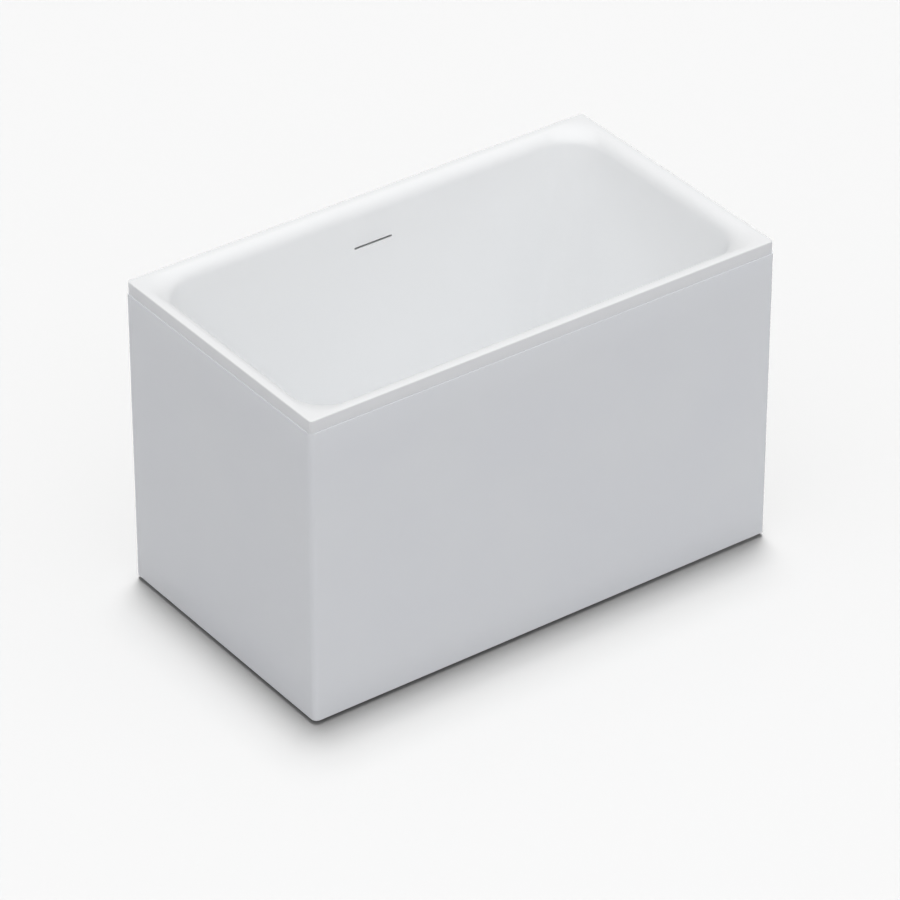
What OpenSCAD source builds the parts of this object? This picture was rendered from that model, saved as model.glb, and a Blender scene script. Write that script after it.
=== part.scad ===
// Deep rectangular bathtub for a corner. A one-piece apron closes its front and left faces,
// and two walls meet its rear and right sides.
// Millimetres. The origin is on the floor under the middle of the tub: +X runs along its length
// to the right, -Y is the front and +Z is up.

/* [Tub shell] */
// Overall length, over the apron
tub_l = 1200; // [1150:10:1500]
// Overall width, over the apron
tub_w = 675; // [650:5:800]
// Height of the rim above the floor
tub_h = 756; // [740:2:800]
// Height of the basin's inside at the waste, over the cradle, feet and trap
waste_h = 196; // [190:2:220]
// Thickness of the acrylic sheet
shell_t = 5; // [4:0.5:7]
// Thickness of the basin floor
floor_t = 8; // [6:1:12]
// Fall of the basin floor towards the waste
floor_fall = 5; // [2:1:9]
// Height of the rim band
skirt_h = 30; // [26:1:40]
// Set-back of the rim band behind the apron faces
rim_inset = 1.8; // [1:0.2:3]
// Corner radius of the rim in plan
rim_corner_r = 8; // [6:1:14]
// Radius of the rim's outer top edge
rim_edge_r = 2.5; // [1:0.5:4]
// Width of the flat on top of the rim
rim_flat = 11; // [9:1:16]
// Width of the lip that falls from the flat into the basin
lip_w = 27; // [22:1:32]
// Depth of the lip
lip_h = 28; // [22:1:36]
// Corner radius in plan at the inner edge of the flat
mouth_r = 50; // [40:1:70]
// Corner radius in plan of the basin's walls, below the lip
wall_r = 90; // [82:1:120]
// Radius between the basin's walls and floor
floor_r = 65; // [50:5:80]
// Lean of the two long walls, degrees
side_slope = 6; // [3:0.5:7]
// Lean of the left end wall, degrees
end_slope = 6; // [3:0.5:9]
// Lean of the right end wall, the backrest, degrees
back_slope = 10; // [6:0.5:14]

/* [Overflow slot] */
// Length of the slot in the rear wall
slot_l = 99; // [80:1:120]
// Height of the slot
slot_h = 5.5; // [5:0.5:8]
// Slot's middle below the rim
slot_drop = 96; // [88:1:110]

/* [Base board and battens] */
// Thickness of the floor board
board_t = 18; // [12:1:22]
// Board's edge inside the edge of the flat basin floor
board_margin = 8; // [2:1:20]
// Width of the battens under the rim
rim_batten_w = 18; // [12:1:18]
// Height of the battens under the rim
rim_batten_h = 18; // [12:1:20]

/* [Steel cradle] */
// Width of the square tube of bearers and cross members
tube_w = 30; // [25:1:34]
// Width of the square tube of the posts
post_w = 25; // [20:1:28]
// Wall of all square tube
tube_t = 2; // [1.5:0.5:3]
// Bearers from the tub's middle line
bearer_y = 122; // [116:1:126]
// Middle cross member and its foot, from the tub's middle
mid_foot_x = -230; // [-300:5:-150]
// Thickness of the rubber pads between posts and rim
rim_pad_t = 12; // [10:1:16]
// Thickness of the plastic caps on open tube ends
cap_t = 2; // [1:0.5:2.5]
// Leg of the angles that stand the posts on the cross members
angle_leg = 26; // [22:1:30]
// Thickness of angles and ledges
angle_t = 3; // [2:0.5:3]
// Outer board screws inside the ends of the flat basin floor
board_screw_in = 60; // [40:5:80]

/* [Levelling feet] */
// Outer feet in from the ends of the cross members
foot_in = 74; // [65:1:90]
// Diameter of the threaded spindle, M12
spindle_d = 12; // [10:1:14]
// Height of the spindle's top above the cross member
spindle_rise = 15; // [8:1:20]
// Diameter of a foot pad
pad_d = 56; // [46:1:60]
// Height of a foot pad
pad_h = 26; // [22:1:32]
// Height of the adjusting hexagon on the spindle
hexagon_h = 8; // [6:1:12]
// Height of the nut welded under the cross member
weld_nut_h = 10; // [8:1:12]
// Height of the lock nut
lock_nut_h = 6; // [5:1:8]
// Width of the foot's nuts across their corners
foot_nut_d = 21.9; // [20:0.1:26]

/* [Apron] */
// Gap between the apron and the floor
apron_gap = 10; // [6:1:16]
// Thickness of the apron sheet
apron_t = 4; // [3:0.5:5]
// Seam between the apron and the rim band
seam_gap = 0.5; // [0.5:0.1:2]
// Radius of the corner between front and left faces
apron_corner_r = 14; // [10:1:20]
// Radius of the apron's two free vertical ends
apron_end_r = 8; // [6:1:12]
// Depth of the top edge and the ends of the apron, turned inwards
apron_return = 24; // [15:1:26]
// Room between the apron's bottom edge, turned inwards, and the foot pads
pad_room = 3; // [2:1:4]
// Thickness of the battens inside the apron
batten_t = 18; // [12:1:20]
// Height of the battens inside the apron
batten_h = 45; // [42:1:60]
// Upper battens' middle below the rim
batten_drop = 110; // [90:5:160]
// Gap between the lower battens and the ledges that carry them
ledge_gap = 0.3; // [0.3:0.1:1]
// Side ledges from the tub's middle line
ledge_y = 200; // [170:5:210]

/* [Magnetic catches] */
// Diameter of a magnet
magnet_d = 22; // [16:1:26]
// Thickness of a magnet
magnet_t = 4; // [3:0.5:6]
// Gap between a magnet and its strike plate
magnet_gap = 0.3; // [0.3:0.1:1]
// Thickness of a strike plate
strike_t = 2; // [1.5:0.5:3]
// Height of a strike plate
strike_h = 40; // [32:1:44]

/* [Waste] */
// Waste from the tub's middle line, towards the rear
waste_y = 50; // [40:1:58]
// Diameter of the waste hole
waste_hole_d = 52; // [50:1:54]
// Outer diameter of the flange's sleeve
sleeve_d = 50; // [46:0.5:50]
// Wall of the sleeve
sleeve_t = 3; // [2:0.5:4]
// Length of the sleeve below the basin floor
sleeve_l = 44; // [42:1:46]
// Diameter of the flange
flange_d = 72; // [66:1:78]
// Thickness of the flange
flange_t = 4; // [3:0.5:5]
// Thickness of the washers above and below the basin floor
washer_t = 2; // [1.5:0.5:3]
// Diameter of the plug
plug_d = 62; // [56:1:64]
// Thickness of the plug at its rim
plug_t = 4; // [3:0.5:6]
// Diameter of the plug's stem
stem_d = 8; // [6:0.5:10]
// Length of the plug's stem
stem_l = 46; // [40:1:52]
// Diameter of the guide cartridge in the flange's sleeve
cartridge_d = 17; // [14:1:20]
// Wall of the waste body round the sleeve
body_t = 4; // [3:0.5:5]
// Overhang of the waste body's flange
body_rim = 9; // [7:0.5:10]

/* [Pipes and trap] */
// Outer diameter of the overflow and link pipes
pipe_d = 32; // [28:1:34]
// Outer diameter of the outlet pipe
outlet_d = 40; // [38:1:42]
// Wall of all plastic pipes
pipe_t = 2; // [1.5:0.5:2.5]
// Clearance between the link pipe and the bearer over it
link_clear = 4; // [2:1:6]
// Clearance between the trap and the floor
trap_clear = 14; // [10:1:18]
// Diameter of the trap's body
trap_d = 90; // [84:1:100]
// Wall of the trap
trap_t = 3; // [2.5:0.5:4]
// Height of the trap's screw cup
cup_h = 26; // [22:1:30]
// Outlet pipe from the waste's middle
outlet_x = 112; // [105:1:130]
// Length of the outlet pipe's end, up to its stop collar
spigot_l = 45; // [40:1:60]
// Depth of a pipe in its socket
socket_l = 22; // [18:1:26]
// Wall of a socket
socket_t = 2.5; // [2:0.5:3]
// Overhang of a coupling nut round its socket
nut_rim = 4; // [3.5:0.5:4.5]
// Length of a coupling nut
nut_l = 16; // [14:1:18]
// Outlet pipe's end short of the wall side of the tub
outlet_back = 6; // [4:1:12]

/* [Overflow housing] */
// Width of the housing behind the slot
housing_w = 124; // [122:1:140]
// Height of the housing
housing_h = 44; // [40:1:60]
// Length of the spigot under the housing
spigot_h = 16; // [14:1:20]
// Distance of the housing's back from the wall side of the tub
housing_back = 6; // [5:1:8]
// Wall of the housing
housing_t = 2.5; // [2:0.5:3]
// Thickness of its seal
seal_t = 2; // [1.5:0.5:3]

/* [Wall brackets] */
// Height of a bracket
bracket_h = 70; // [60:1:80]
// Length of the bracket's leg along the wall
bracket_l = 60; // [50:1:80]
// Spacing of its two screw holes
bracket_spacing = 40; // [35:1:44]
// Diameter of its screw holes
bracket_hole_d = 7; // [6:0.5:8]
// Brackets' middle below the rim
bracket_drop = 90; // [75:5:120]

/* [Fasteners] */
// Diameter of the cradle's bolts, M8
bolt_d = 8; // [6:1:8]
// Thickness of the bolts' heads and nuts
bolt_head = 5.5; // [5:0.5:6]
// Diameter of the sheet screws and board screws
screw_d = 5; // [4:0.5:5.5]
// Height of their heads
screw_head = 3; // [2:0.5:3]
// Length of a sheet screw under its head
screw_l = 14; // [10:1:16]

/* [Hidden] */
$fn = 48;
corner_n = 10; // steps in each corner of a basin ring
clear = 0.3; // between pieces that move past each other
fit = 0.08; // round a shaft that turns or slides in its bore
slack = 0.5; // round pieces that pass through a hole
cut = 1; // how far a cutter runs past a face

// The overall plan and the shell
half_l = tub_l / 2;
half_w = tub_w / 2;
rim_x = half_l - rim_inset;
rim_y = half_w - rim_inset;
wall_in = rim_flat + lip_w;
floor_in_z = waste_h;
basin_depth = tub_h - waste_h;
floor_out_z = floor_in_z - floor_t;
edge_depth = basin_depth - floor_fall;
flat_left = -(rim_x - wall_in - floor_r - tan(end_slope) * edge_depth);
flat_right = rim_x - wall_in - floor_r - tan(back_slope) * edge_depth;
flat_y = rim_y - wall_in - floor_r - tan(side_slope) * edge_depth;
slot_z = tub_h - slot_drop;
slot_y = rim_y - wall_in - tan(side_slope) * slot_drop;
skirt_z = tub_h - skirt_h;
waste_flat = flange_d / 2 + 8; // half the level patch round the waste
back_r = floor_r + shell_t;
rim_corner = shell_t + slack + rim_batten_w + slack;
rim_chamfer = 4; // on the rim battens, clear of the lip

// The cradle, from the basin floor down
board_z = floor_out_z - board_t;
bearer_z = board_z - tube_w;
cross_z = bearer_z - tube_w;
face_gap = apron_t + batten_t + magnet_t + magnet_gap + strike_t; // apron's face to the cradle
cross_x = half_l - face_gap - tube_w / 2;
cross_half = half_w - face_gap;
post_x = half_l - face_gap - post_w / 2;
post_y = half_w - face_gap - post_w / 2;
post_top = tub_h - shell_t - rim_pad_t;
bearer_half = half_l - face_gap - clear;
foot_y = cross_half - foot_in;
angle_hole = 0.6 * angle_leg; // screw holes from the heel of an angle
plug_in = 8; // how far caps and pads reach into a tube
bolt_hex = 1.8 * bolt_d; // heads and nuts across their corners
bolt_tail = 4; // bolt past its nut

// The feet
FEET = [
    ["front_left", -cross_x, -foot_y],
    ["front_right", cross_x, -foot_y],
    ["rear_left", -cross_x, foot_y],
    ["rear_right", cross_x, foot_y],
    ["middle", mid_foot_x, 0]
];
POSTS = [
    ["front_left", -1, -1],
    ["front_right", 1, -1],
    ["rear_left", -1, 1],
    ["rear_right", 1, 1]
];
low_return = face_gap + tube_w / 2 - pad_d / 2 - pad_room;
spindle_foot = pad_h / 2;
pad_sole = 2; // the pad's thin edge stands this high
pad_edge = 7; // top of the pad's edge, where its cone starts
pad_cone = 14; // top of the cone
weld_nut_z = cross_z - weld_nut_h;
lock_nut_z = weld_nut_z - lock_nut_h;
spindle_top = bearer_z + spindle_rise;
hexagon_z = pad_h + 4; // clear of the pad

// The apron and what holds it
apron_top = skirt_z - seam_gap;
ledge_z = bearer_z + angle_t;
low_batten_z = ledge_z + ledge_gap;
high_batten_z = tub_h - batten_drop - batten_h / 2;
strike_w = min(strike_h, post_w);
CATCHES = [low_batten_z + batten_h / 2, high_batten_z + batten_h / 2];

// Waste, trap and overflow
washer_z = floor_in_z + washer_t;
flange_z = washer_z + flange_t;
sleeve_bore = sleeve_d - 2 * sleeve_t;
sleeve_z = floor_out_z - sleeve_l;
spider_w = 4; // arms that hold the cartridge in the sleeve
spider_h = 6;
plug_z = flange_z + clear; // underside of the plug's seal
stem_z = plug_z + washer_t - stem_l;
cartridge_top = flange_z - 14;
body_d = sleeve_d + 2 * slack + 2 * body_t;
body_flange_d = body_d + 2 * body_rim;
body_flange_t = 5;
body_z = floor_out_z - washer_t; // top of the waste body
socket_d = pipe_d + 2 * socket_t;
nut_d = socket_d + 2 * nut_rim;
link_z = bearer_z - link_clear - pipe_d / 2;
pipe_y = half_w - housing_back - socket_d / 2;
trap_top = link_z - nut_d / 2 - 1;
body_low = link_z - socket_d / 2 - 2; // underside of the cup round the sleeve
tail_d = outlet_d;
tail_z = trap_clear + 8; // the tail pipe dips into the water of the trap
trap_low = trap_clear + cup_h - 10; // the trap's body reaches this far into its cup
outlet_z = trap_top - trap_t - outlet_d / 2 - 1;
outlet_socket_d = outlet_d + 2 * socket_t;
trap_side = trap_d / 2 + 12; // end of the trap's outlet socket
outlet_end = half_w - outlet_back;
collar_w = 3; // width and height of the stop collar
elbow_l = outlet_d / 2 + 4; // middle of a bend to the end of the pipe in its socket
bend_l = pipe_d / 2 + 4;
bend_swell = 3; // a bend's ball is this much wider than its sockets
body_side = body_d / 2 + socket_l;
nut_lip = 4; // closed end of a coupling nut, in front of its socket
housing_top = slot_z + 0.4 * housing_h; // the slot sits above the housing's middle
housing_low = housing_top - housing_h;
housing_y = slot_y + shell_t / cos(side_slope);
spigot_low = housing_low - spigot_h;
spigot_in = spigot_h - 2; // depth of the overflow pipe in the spigot
bracket_z = tub_h - bracket_drop;
bracket_leg = face_gap + post_w;
bracket_x = post_w / 2 + angle_t + 0.6 * bracket_l; // wall screws from the post's middle

FOOT_NODES = [for (part = ["foot_pad_", "foot_spindle_"]) for (f = FEET) str(part, f[0])];
POST_NODES = [for (p = POSTS) str("post_", p[0])];

// General shapes

// A solid between a list of rings of equal length, the first of them on top
module loft(rings) {
    n = len(rings[0]);
    last = n * (len(rings) - 1);
    sides = [
        for (i = [0 : len(rings) - 2])
        for (j = [0 : n - 1])
        let (a = i * n + j, b = i * n + (j + 1) % n)
        each [[a, b, b + n], [a, b + n, a + n]]
    ];
    caps = [[for (j = [n - 1 : -1 : 0]) j], [for (j = [0 : n - 1]) last + j]];
    polyhedron(points = [for (r = rings) each r], faces = concat(caps, sides));
}

function arc(x, y, r, from, to, n = 6) =
    [for (k = [0 : n]) let (a = from + (to - from) * k / n) [x + r * cos(a), y + r * sin(a)]];

function rounded(low, high, r, z) = [
    for (p = concat(
        arc(high.x - r, high.y - r, r, 0, 90, corner_n),
        arc(low.x + r, high.y - r, r, 90, 180, corner_n),
        arc(low.x + r, low.y + r, r, 180, 270, corner_n),
        arc(high.x - r, low.y + r, r, 270, 360, corner_n)
    )) [p.x, p.y, z]
];

// A square tube along X, its middle line on the X axis
module tube_x(from, to, w) {
    difference() {
        translate([from, -w / 2, -w / 2]) cube([to - from, w, w]);
        translate([from - cut, tube_t - w / 2, tube_t - w / 2])
            cube([to - from + 2 * cut, w - 2 * tube_t, w - 2 * tube_t]);
    }
}

module tube_y(from, to, w) {
    rotate([0, 0, 90]) tube_x(from, to, w);
}

// A round hole or rod along an axis
module rod_x(from, to, d) {
    translate([from, 0, 0]) rotate([0, 90, 0]) cylinder(h = to - from, d = d);
}

module rod_y(from, to, d) {
    translate([0, to, 0]) rotate([90, 0, 0]) cylinder(h = to - from, d = d);
}

module ring_z(z, h, outer, inner) {
    translate([0, 0, z]) difference() {
        cylinder(h = h, d = outer);
        translate([0, 0, -cut]) cylinder(h = h + 2 * cut, d = inner);
    }
}

module hex_z(z, h, d, bore = 0) {
    translate([0, 0, z]) difference() {
        cylinder(h = h, d = d, $fn = 6);
        if (bore > 0) translate([0, 0, -cut]) cylinder(h = h + 2 * cut, d = bore);
    }
}

module at_waste() {
    translate([0, waste_y, 0]) children();
}

// Tub shell

// A ring of the shell: inset from the rim's edge, depth below the rim, corner radius, and whether it leans
function shell_ring(o, d, r, leans = 1) =
    let (side = rim_y - o - leans * tan(side_slope) * d)
    rounded(
        [-(rim_x - o - leans * tan(end_slope) * d), -side],
        [rim_x - o - leans * tan(back_slope) * d, side],
        r, tub_h - d
    );

inner_rings = concat(
    [rounded([-waste_flat, waste_y - waste_flat], [waste_flat, waste_y + waste_flat],
        waste_flat - 2, floor_in_z)],
    [for (a = [90 : -11.25 : 0]) shell_ring(wall_in + floor_r * (1 - cos(a)),
        edge_depth - floor_r * (1 - sin(a)), wall_r - floor_r * (1 - cos(a)))],
    [for (a = [90 : -15 : 0]) shell_ring(rim_flat + lip_w * sin(a),
        lip_h * (1 - cos(a)), mouth_r + (wall_r - mouth_r) * sin(a))]
);
rim_rings = concat(
    [for (a = [0 : 30 : 90]) shell_ring(rim_edge_r * (1 - sin(a)),
        rim_edge_r * (1 - cos(a)), rim_corner_r - rim_edge_r * (1 - sin(a)), 0)],
    [shell_ring(0, skirt_h, rim_corner_r, 0)],
    [shell_ring(shell_t, skirt_h, rim_corner_r - shell_t + 1, 0)],
    [shell_ring(shell_t, shell_t, rim_corner_r - shell_t + 1, 0)]
);
lip_back = [for (a = [0 : 15 : 90]) shell_ring(rim_flat + (lip_w - shell_t) * sin(a),
    lip_h - (lip_h - shell_t) * cos(a), mouth_r + (wall_r + shell_t - mouth_r) * sin(a))];
outer_rings = concat(
    lip_back,
    [for (a = [0 : 15 : 90]) shell_ring(wall_in - shell_t + back_r * (1 - cos(a)),
        edge_depth - floor_r + (floor_r + floor_fall + floor_t) * sin(a),
        wall_r + shell_t - back_r * (1 - cos(a)))]
);

module slot_shape(length, height) {
    for (s = [-1, 1]) translate([s * (length - height) / 2, 0]) circle(d = height);
    square([length - height, height], center = true);
}

module tub_shell() color("white") {
    difference() {
        loft(concat(inner_rings, rim_rings, outer_rings));
        at_waste() translate([0, 0, floor_out_z - cut])
            cylinder(h = floor_t + 2 * cut, d = waste_hole_d);
        translate([0, slot_y + 20, slot_z]) rotate([90, 0, 0])
            linear_extrude(height = 40) slot_shape(slot_l, slot_h);
    }
}

module base_board() color("burlywood") {
    difference() {
        translate([flat_left + board_margin, board_margin - flat_y, board_z])
            cube([flat_right - flat_left - 2 * board_margin, 2 * (flat_y - board_margin), board_t]);
        at_waste() translate([0, 0, board_z - cut])
            cylinder(h = board_t + 2 * cut, d = body_flange_d + 4 * slack);
        board_screw_places() translate([0, 0, board_z - cut]) cylinder(h = board_t, d = screw_d);
    }
}

// Battens under the rim, seated on its underside against the rim band
module rim_batten(from, to) {
    seat = tub_h - shell_t;
    y0 = shell_t + slack;
    translate([from, 0, seat]) rotate([90, 0, 90]) linear_extrude(height = to - from)
        polygon([
            [y0, 0], [y0, -rim_batten_h], [y0 + rim_batten_w, -rim_batten_h],
            [y0 + rim_batten_w, -rim_chamfer], [rim_flat - slack, 0]
        ]);
}

module rim_batten_long() color("tan") {
    translate([0, -rim_y, 0]) rim_batten(-rim_x + rim_corner, rim_x - rim_corner);
}

module rim_batten_end() color("tan") {
    end = rim_y - shell_t - slack - 2;
    rotate([0, 0, -90]) translate([0, -rim_x, 0]) rim_batten(-end, end);
}

module rim_batten_front() rim_batten_long();
module rim_batten_rear() mirror([0, 1, 0]) rim_batten_long();
module rim_batten_left() rim_batten_end();
module rim_batten_right() mirror([1, 0, 0]) rim_batten_end();

// Steel cradle

function board_screw_xs() = [flat_left + board_screw_in, mid_foot_x, flat_right - board_screw_in];

module board_screw_places() {
    for (x = board_screw_xs()) for (s = [-1, 1]) translate([x, s * bearer_y, 0]) children();
}

module bolt_places() {
    for (x = [-cross_x, cross_x]) for (s = [-1, 1]) translate([x, s * bearer_y, 0]) children();
}

module bearer() color("silver") {
    difference() {
        translate([0, bearer_y, bearer_z + tube_w / 2]) tube_x(-bearer_half, bearer_half, tube_w);
        bolt_places() translate([0, 0, bearer_z - cut])
            cylinder(h = tube_w + 2 * cut, d = bolt_d + 2 * slack);
        board_screw_places() translate([0, 0, bearer_z - cut])
            cylinder(h = tube_w + 2 * cut, d = screw_d + 2 * slack);
    }
}

module bearer_rear() bearer();
module bearer_front() mirror([0, 1, 0]) bearer();

module cross_member(x, half) color("silver") {
    difference() {
        translate([x, 0, cross_z + tube_w / 2]) tube_y(-half, half, tube_w);
        bolt_places() translate([0, 0, cross_z - cut])
            cylinder(h = tube_w + 2 * cut, d = bolt_d + 2 * slack);
        board_screw_places() translate([0, 0, cross_z - cut])
            cylinder(h = tube_w + 2 * cut, d = screw_d + 2 * slack);
        for (f = FEET) translate([f[1], f[2], cross_z - cut])
            cylinder(h = tube_w + 2 * cut, d = spindle_d + 2 * slack);
        frame_screw_places() screw_hole();
    }
}

module cross_member_left() cross_member(-cross_x, cross_half);
module cross_member_right() cross_member(cross_x, cross_half);
module cross_member_middle() cross_member(mid_foot_x, bearer_y + tube_w / 2);

module post(p) color("silver") {
    difference() {
        translate([p[1] * post_x, p[2] * post_y, bearer_z]) rotate([0, -90, 0])
            tube_x(0, post_top - bearer_z, post_w);
        frame_screw_places() screw_hole();
    }
}

// Angles that stand each post on its cross member, on the side towards the middle
module post_brackets() color("gray") {
    for (p = POSTS) {
        translate([p[1] * post_x, p[2] * (post_y - post_w / 2), bearer_z]) mirror([0, p[2] > 0 ? 1 : 0, 0])
            difference() {
                union() {
                    translate([-post_w / 2, 0, 0]) cube([post_w, angle_leg, angle_t]);
                    translate([-post_w / 2, 0, 0]) cube([post_w, angle_t, angle_leg]);
                }
                translate([0, angle_hole, angle_t]) screw_hole();
                translate([0, angle_t, angle_hole]) rotate([-90, 0, 0]) screw_hole();
            }
    }
}

module cap_x(w) {
    rotate([0, 90, 0]) translate([-w / 2, -w / 2, 0]) cube([w, w, cap_t]);
    inner = w - 2 * tube_t - slack;
    translate([-plug_in, -inner / 2, -inner / 2]) cube([plug_in, inner, inner]);
}

module tube_caps() color("dimgray") {
    for (s = [-1, 1]) for (e = [0, 1]) {
        translate([0, s * bearer_y, bearer_z + tube_w / 2]) mirror([e, 0, 0])
            translate([bearer_half, 0, 0]) cap_x(tube_w);
        translate([(2 * e - 1) * cross_x, 0, cross_z + tube_w / 2]) rotate([0, 0, s * 90])
            translate([cross_half, 0, 0]) cap_x(tube_w);
    }
    for (s = [-1, 1]) translate([mid_foot_x, 0, cross_z + tube_w / 2]) rotate([0, 0, s * 90])
        translate([bearer_y + tube_w / 2, 0, 0]) cap_x(tube_w);
}

// Each fills the space between its post and the underside of the lip
module rim_pads() color("black") {
    inner = post_w - 2 * tube_t - slack;
    head = post_w - 4;
    difference() {
        for (p = POSTS) translate([p[1] * post_x, p[2] * post_y, post_top]) {
            translate([-head / 2, -head / 2, 0]) cube([head, head, rim_pad_t]);
            translate([-inner / 2, -inner / 2, -plug_in]) cube([inner, inner, plug_in + 1]);
        }
        loft(concat([[for (p = lip_back[0]) [p.x, p.y, p.z + cut]]], lip_back));
    }
}

module frame_bolts() color("gainsboro") {
    bolt_places() {
        low = cross_z - bolt_head - bolt_tail;
        hex_z(board_z, bolt_head, bolt_hex);
        translate([0, 0, low]) cylinder(h = board_z - low + 1, d = bolt_d);
    }
}

module frame_nuts() color("gainsboro") {
    bolt_places() hex_z(cross_z - bolt_head, bolt_head, bolt_hex, bolt_d);
}

// A sheet screw along -Z, its head's underside at the origin
module sheet_screw() {
    cylinder(h = screw_head, d = 2 * screw_d);
    translate([0, 0, -screw_l]) cylinder(h = screw_l + 1, d = screw_d);
}

// The hole for one
module screw_hole() {
    translate([0, 0, -screw_l - cut]) cylinder(h = screw_l + 2 * cut, d = screw_d + 2 * fit);
}

// Two through each angle, into the post and the cross member, and two through each wall bracket
module frame_screw_places() {
    for (p = POSTS) {
        translate([p[1] * post_x, p[2] * (post_y - post_w / 2), bearer_z]) mirror([0, p[2] > 0 ? 1 : 0, 0]) {
            translate([0, angle_hole, angle_t]) children();
            translate([0, angle_t, angle_hole]) rotate([-90, 0, 0]) children();
        }
    }
    bracket_frames() for (s = [-1, 1])
        translate([post_w / 2 + angle_t, -face_gap - post_w / 2, s * bracket_h / 4])
            rotate([0, 90, 0]) children();
}

module frame_screws() color("gainsboro") {
    frame_screw_places() sheet_screw();
}

module board_screws() color("gainsboro") {
    for (x = board_screw_xs()) for (s = [-1, 1]) {
        foot = x == mid_foot_x ? cross_z : bearer_z;
        translate([x, s * bearer_y, foot - screw_head]) cylinder(h = screw_head, d = 2 * screw_d);
        translate([x, s * bearer_y, foot - 1]) cylinder(h = board_z + 0.7 * board_t - foot, d = screw_d);
    }
}

// Levelling feet

module weld_nuts() color("gainsboro") {
    for (f = FEET) translate([f[1], f[2], 0]) hex_z(weld_nut_z, weld_nut_h, foot_nut_d, spindle_d + 2 * fit);
}

module lock_nuts() color("gainsboro") {
    for (f = FEET) translate([f[1], f[2], 0]) hex_z(lock_nut_z, lock_nut_h, foot_nut_d, spindle_d + 2 * fit);
}

module foot_pad(f) color("dimgray") {
    hub = spindle_d + 14;
    translate([f[1], f[2], 0]) difference() {
        union() {
            cylinder(h = pad_sole + 1, d = pad_d - 6);
            translate([0, 0, pad_sole]) cylinder(h = pad_edge - pad_sole, d = pad_d);
            translate([0, 0, pad_edge]) cylinder(h = pad_cone - pad_edge, d1 = pad_d - 4, d2 = hub + 4);
            cylinder(h = pad_h, d = hub);
        }
        translate([0, 0, spindle_foot - clear]) cylinder(h = pad_h, d = spindle_d + 2 * fit);
    }
}

module foot_spindle(f) color("gainsboro") {
    translate([f[1], f[2], 0]) {
        translate([0, 0, spindle_foot]) cylinder(h = spindle_top - spindle_foot, d = spindle_d);
        hex_z(hexagon_z, hexagon_h, spindle_d + 6);
    }
}

// Apron

// The tub's plan set in by e, with the apron's three corner radii
module apron_plan(e) {
    x = half_l - e;
    y = half_w - e;
    r = apron_corner_r - e;
    s = apron_end_r - e;
    translate([r - x, -y]) square([2 * x - r - s, 2 * y]);
    translate([-x, r - y]) square([2 * x, 2 * y - r - s]);
    translate([r - x, r - y]) circle(r = r);
    translate([s - x, y - s]) circle(r = s);
    translate([x - s, s - y]) circle(r = s);
    translate([s - x, 0]) square([r, y]);
    translate([0, s - y]) square([x, r]);
}

// All of the plan beyond an L-shaped strip along the front and left faces
module beyond(strip) {
    translate([strip - half_l, strip - half_w]) square([tub_l, tub_w]);
}

// A sheet round the front and left, with its top edge, bottom edge and both ends turned inwards
module apron() color("whitesmoke") {
    difference() {
        translate([0, 0, apron_gap]) linear_extrude(height = apron_top - apron_gap) difference() {
            apron_plan(0);
            beyond(apron_return);
        }
        translate([0, 0, apron_gap + apron_t])
            linear_extrude(height = apron_top - apron_gap - 2 * apron_t) apron_plan(apron_t);
        translate([0, 0, apron_gap - cut]) linear_extrude(height = apron_t + 2 * cut) intersection() {
            apron_plan(apron_t);
            beyond(low_return);
        }
    }
}

module batten_front(z) color("tan") {
    translate([apron_corner_r - half_l, apron_t - half_w, z])
        cube([tub_l - apron_corner_r - apron_end_r, batten_t, batten_h]);
}

module batten_side(z) color("tan") {
    front = apron_t + batten_t + clear - half_w;
    translate([apron_t - half_l, front, z])
        cube([batten_t, half_w - apron_end_r - front, batten_h]);
}

module apron_batten_front_top() batten_front(high_batten_z);
module apron_batten_front_bottom() batten_front(low_batten_z);
module apron_batten_side_top() batten_side(high_batten_z);
module apron_batten_side_bottom() batten_side(low_batten_z);

// Each catch: on the front face of both front posts, and on the left face of both left posts
module catch_places() {
    for (z = CATCHES) {
        for (s = [-1, 1]) translate([s * post_x, -half_w + apron_t + batten_t, z]) children();
        for (s = [-1, 1]) translate([-half_l + apron_t + batten_t, s * post_y, z])
            rotate([0, 0, -90]) children();
    }
}

module apron_magnets() color("silver") {
    catch_places() rod_y(0, magnet_t, magnet_d);
}

module strike_plates() color("gray") {
    catch_places() translate([-strike_w / 2, magnet_t + magnet_gap, -strike_h / 2])
        cube([strike_w, strike_t, strike_h]);
}

// Angles on the cross members that carry the lower battens
module ledge() {
    reach = face_gap - 2 * apron_t;
    translate([-tube_w / 2, -angle_t, angle_t - tube_w]) cube([tube_w, angle_t, tube_w]);
    translate([-tube_w / 2, -reach, 0]) cube([tube_w, reach, angle_t]);
}

module apron_ledges() color("gray") {
    for (s = [-1, 1]) translate([s * cross_x, -cross_half - cap_t, bearer_z]) ledge();
    for (s = [-1, 1]) translate([face_gap - half_l, s * ledge_y, bearer_z]) rotate([0, 0, -90]) ledge();
}

// Wall brackets: on each post that stands by a wall, one leg on the post and one along the wall

// Frames whose +Y points to the wall, at the bracket's height on the post's middle
module bracket_frames() {
    for (s = [-1, 1]) translate([s * post_x, half_w, bracket_z]) mirror([s > 0 ? 1 : 0, 0, 0]) children();
    for (s = [-1, 1]) translate([half_l, s * post_y, bracket_z]) rotate([0, 0, -90])
        mirror([s < 0 ? 1 : 0, 0, 0]) children();
}

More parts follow.
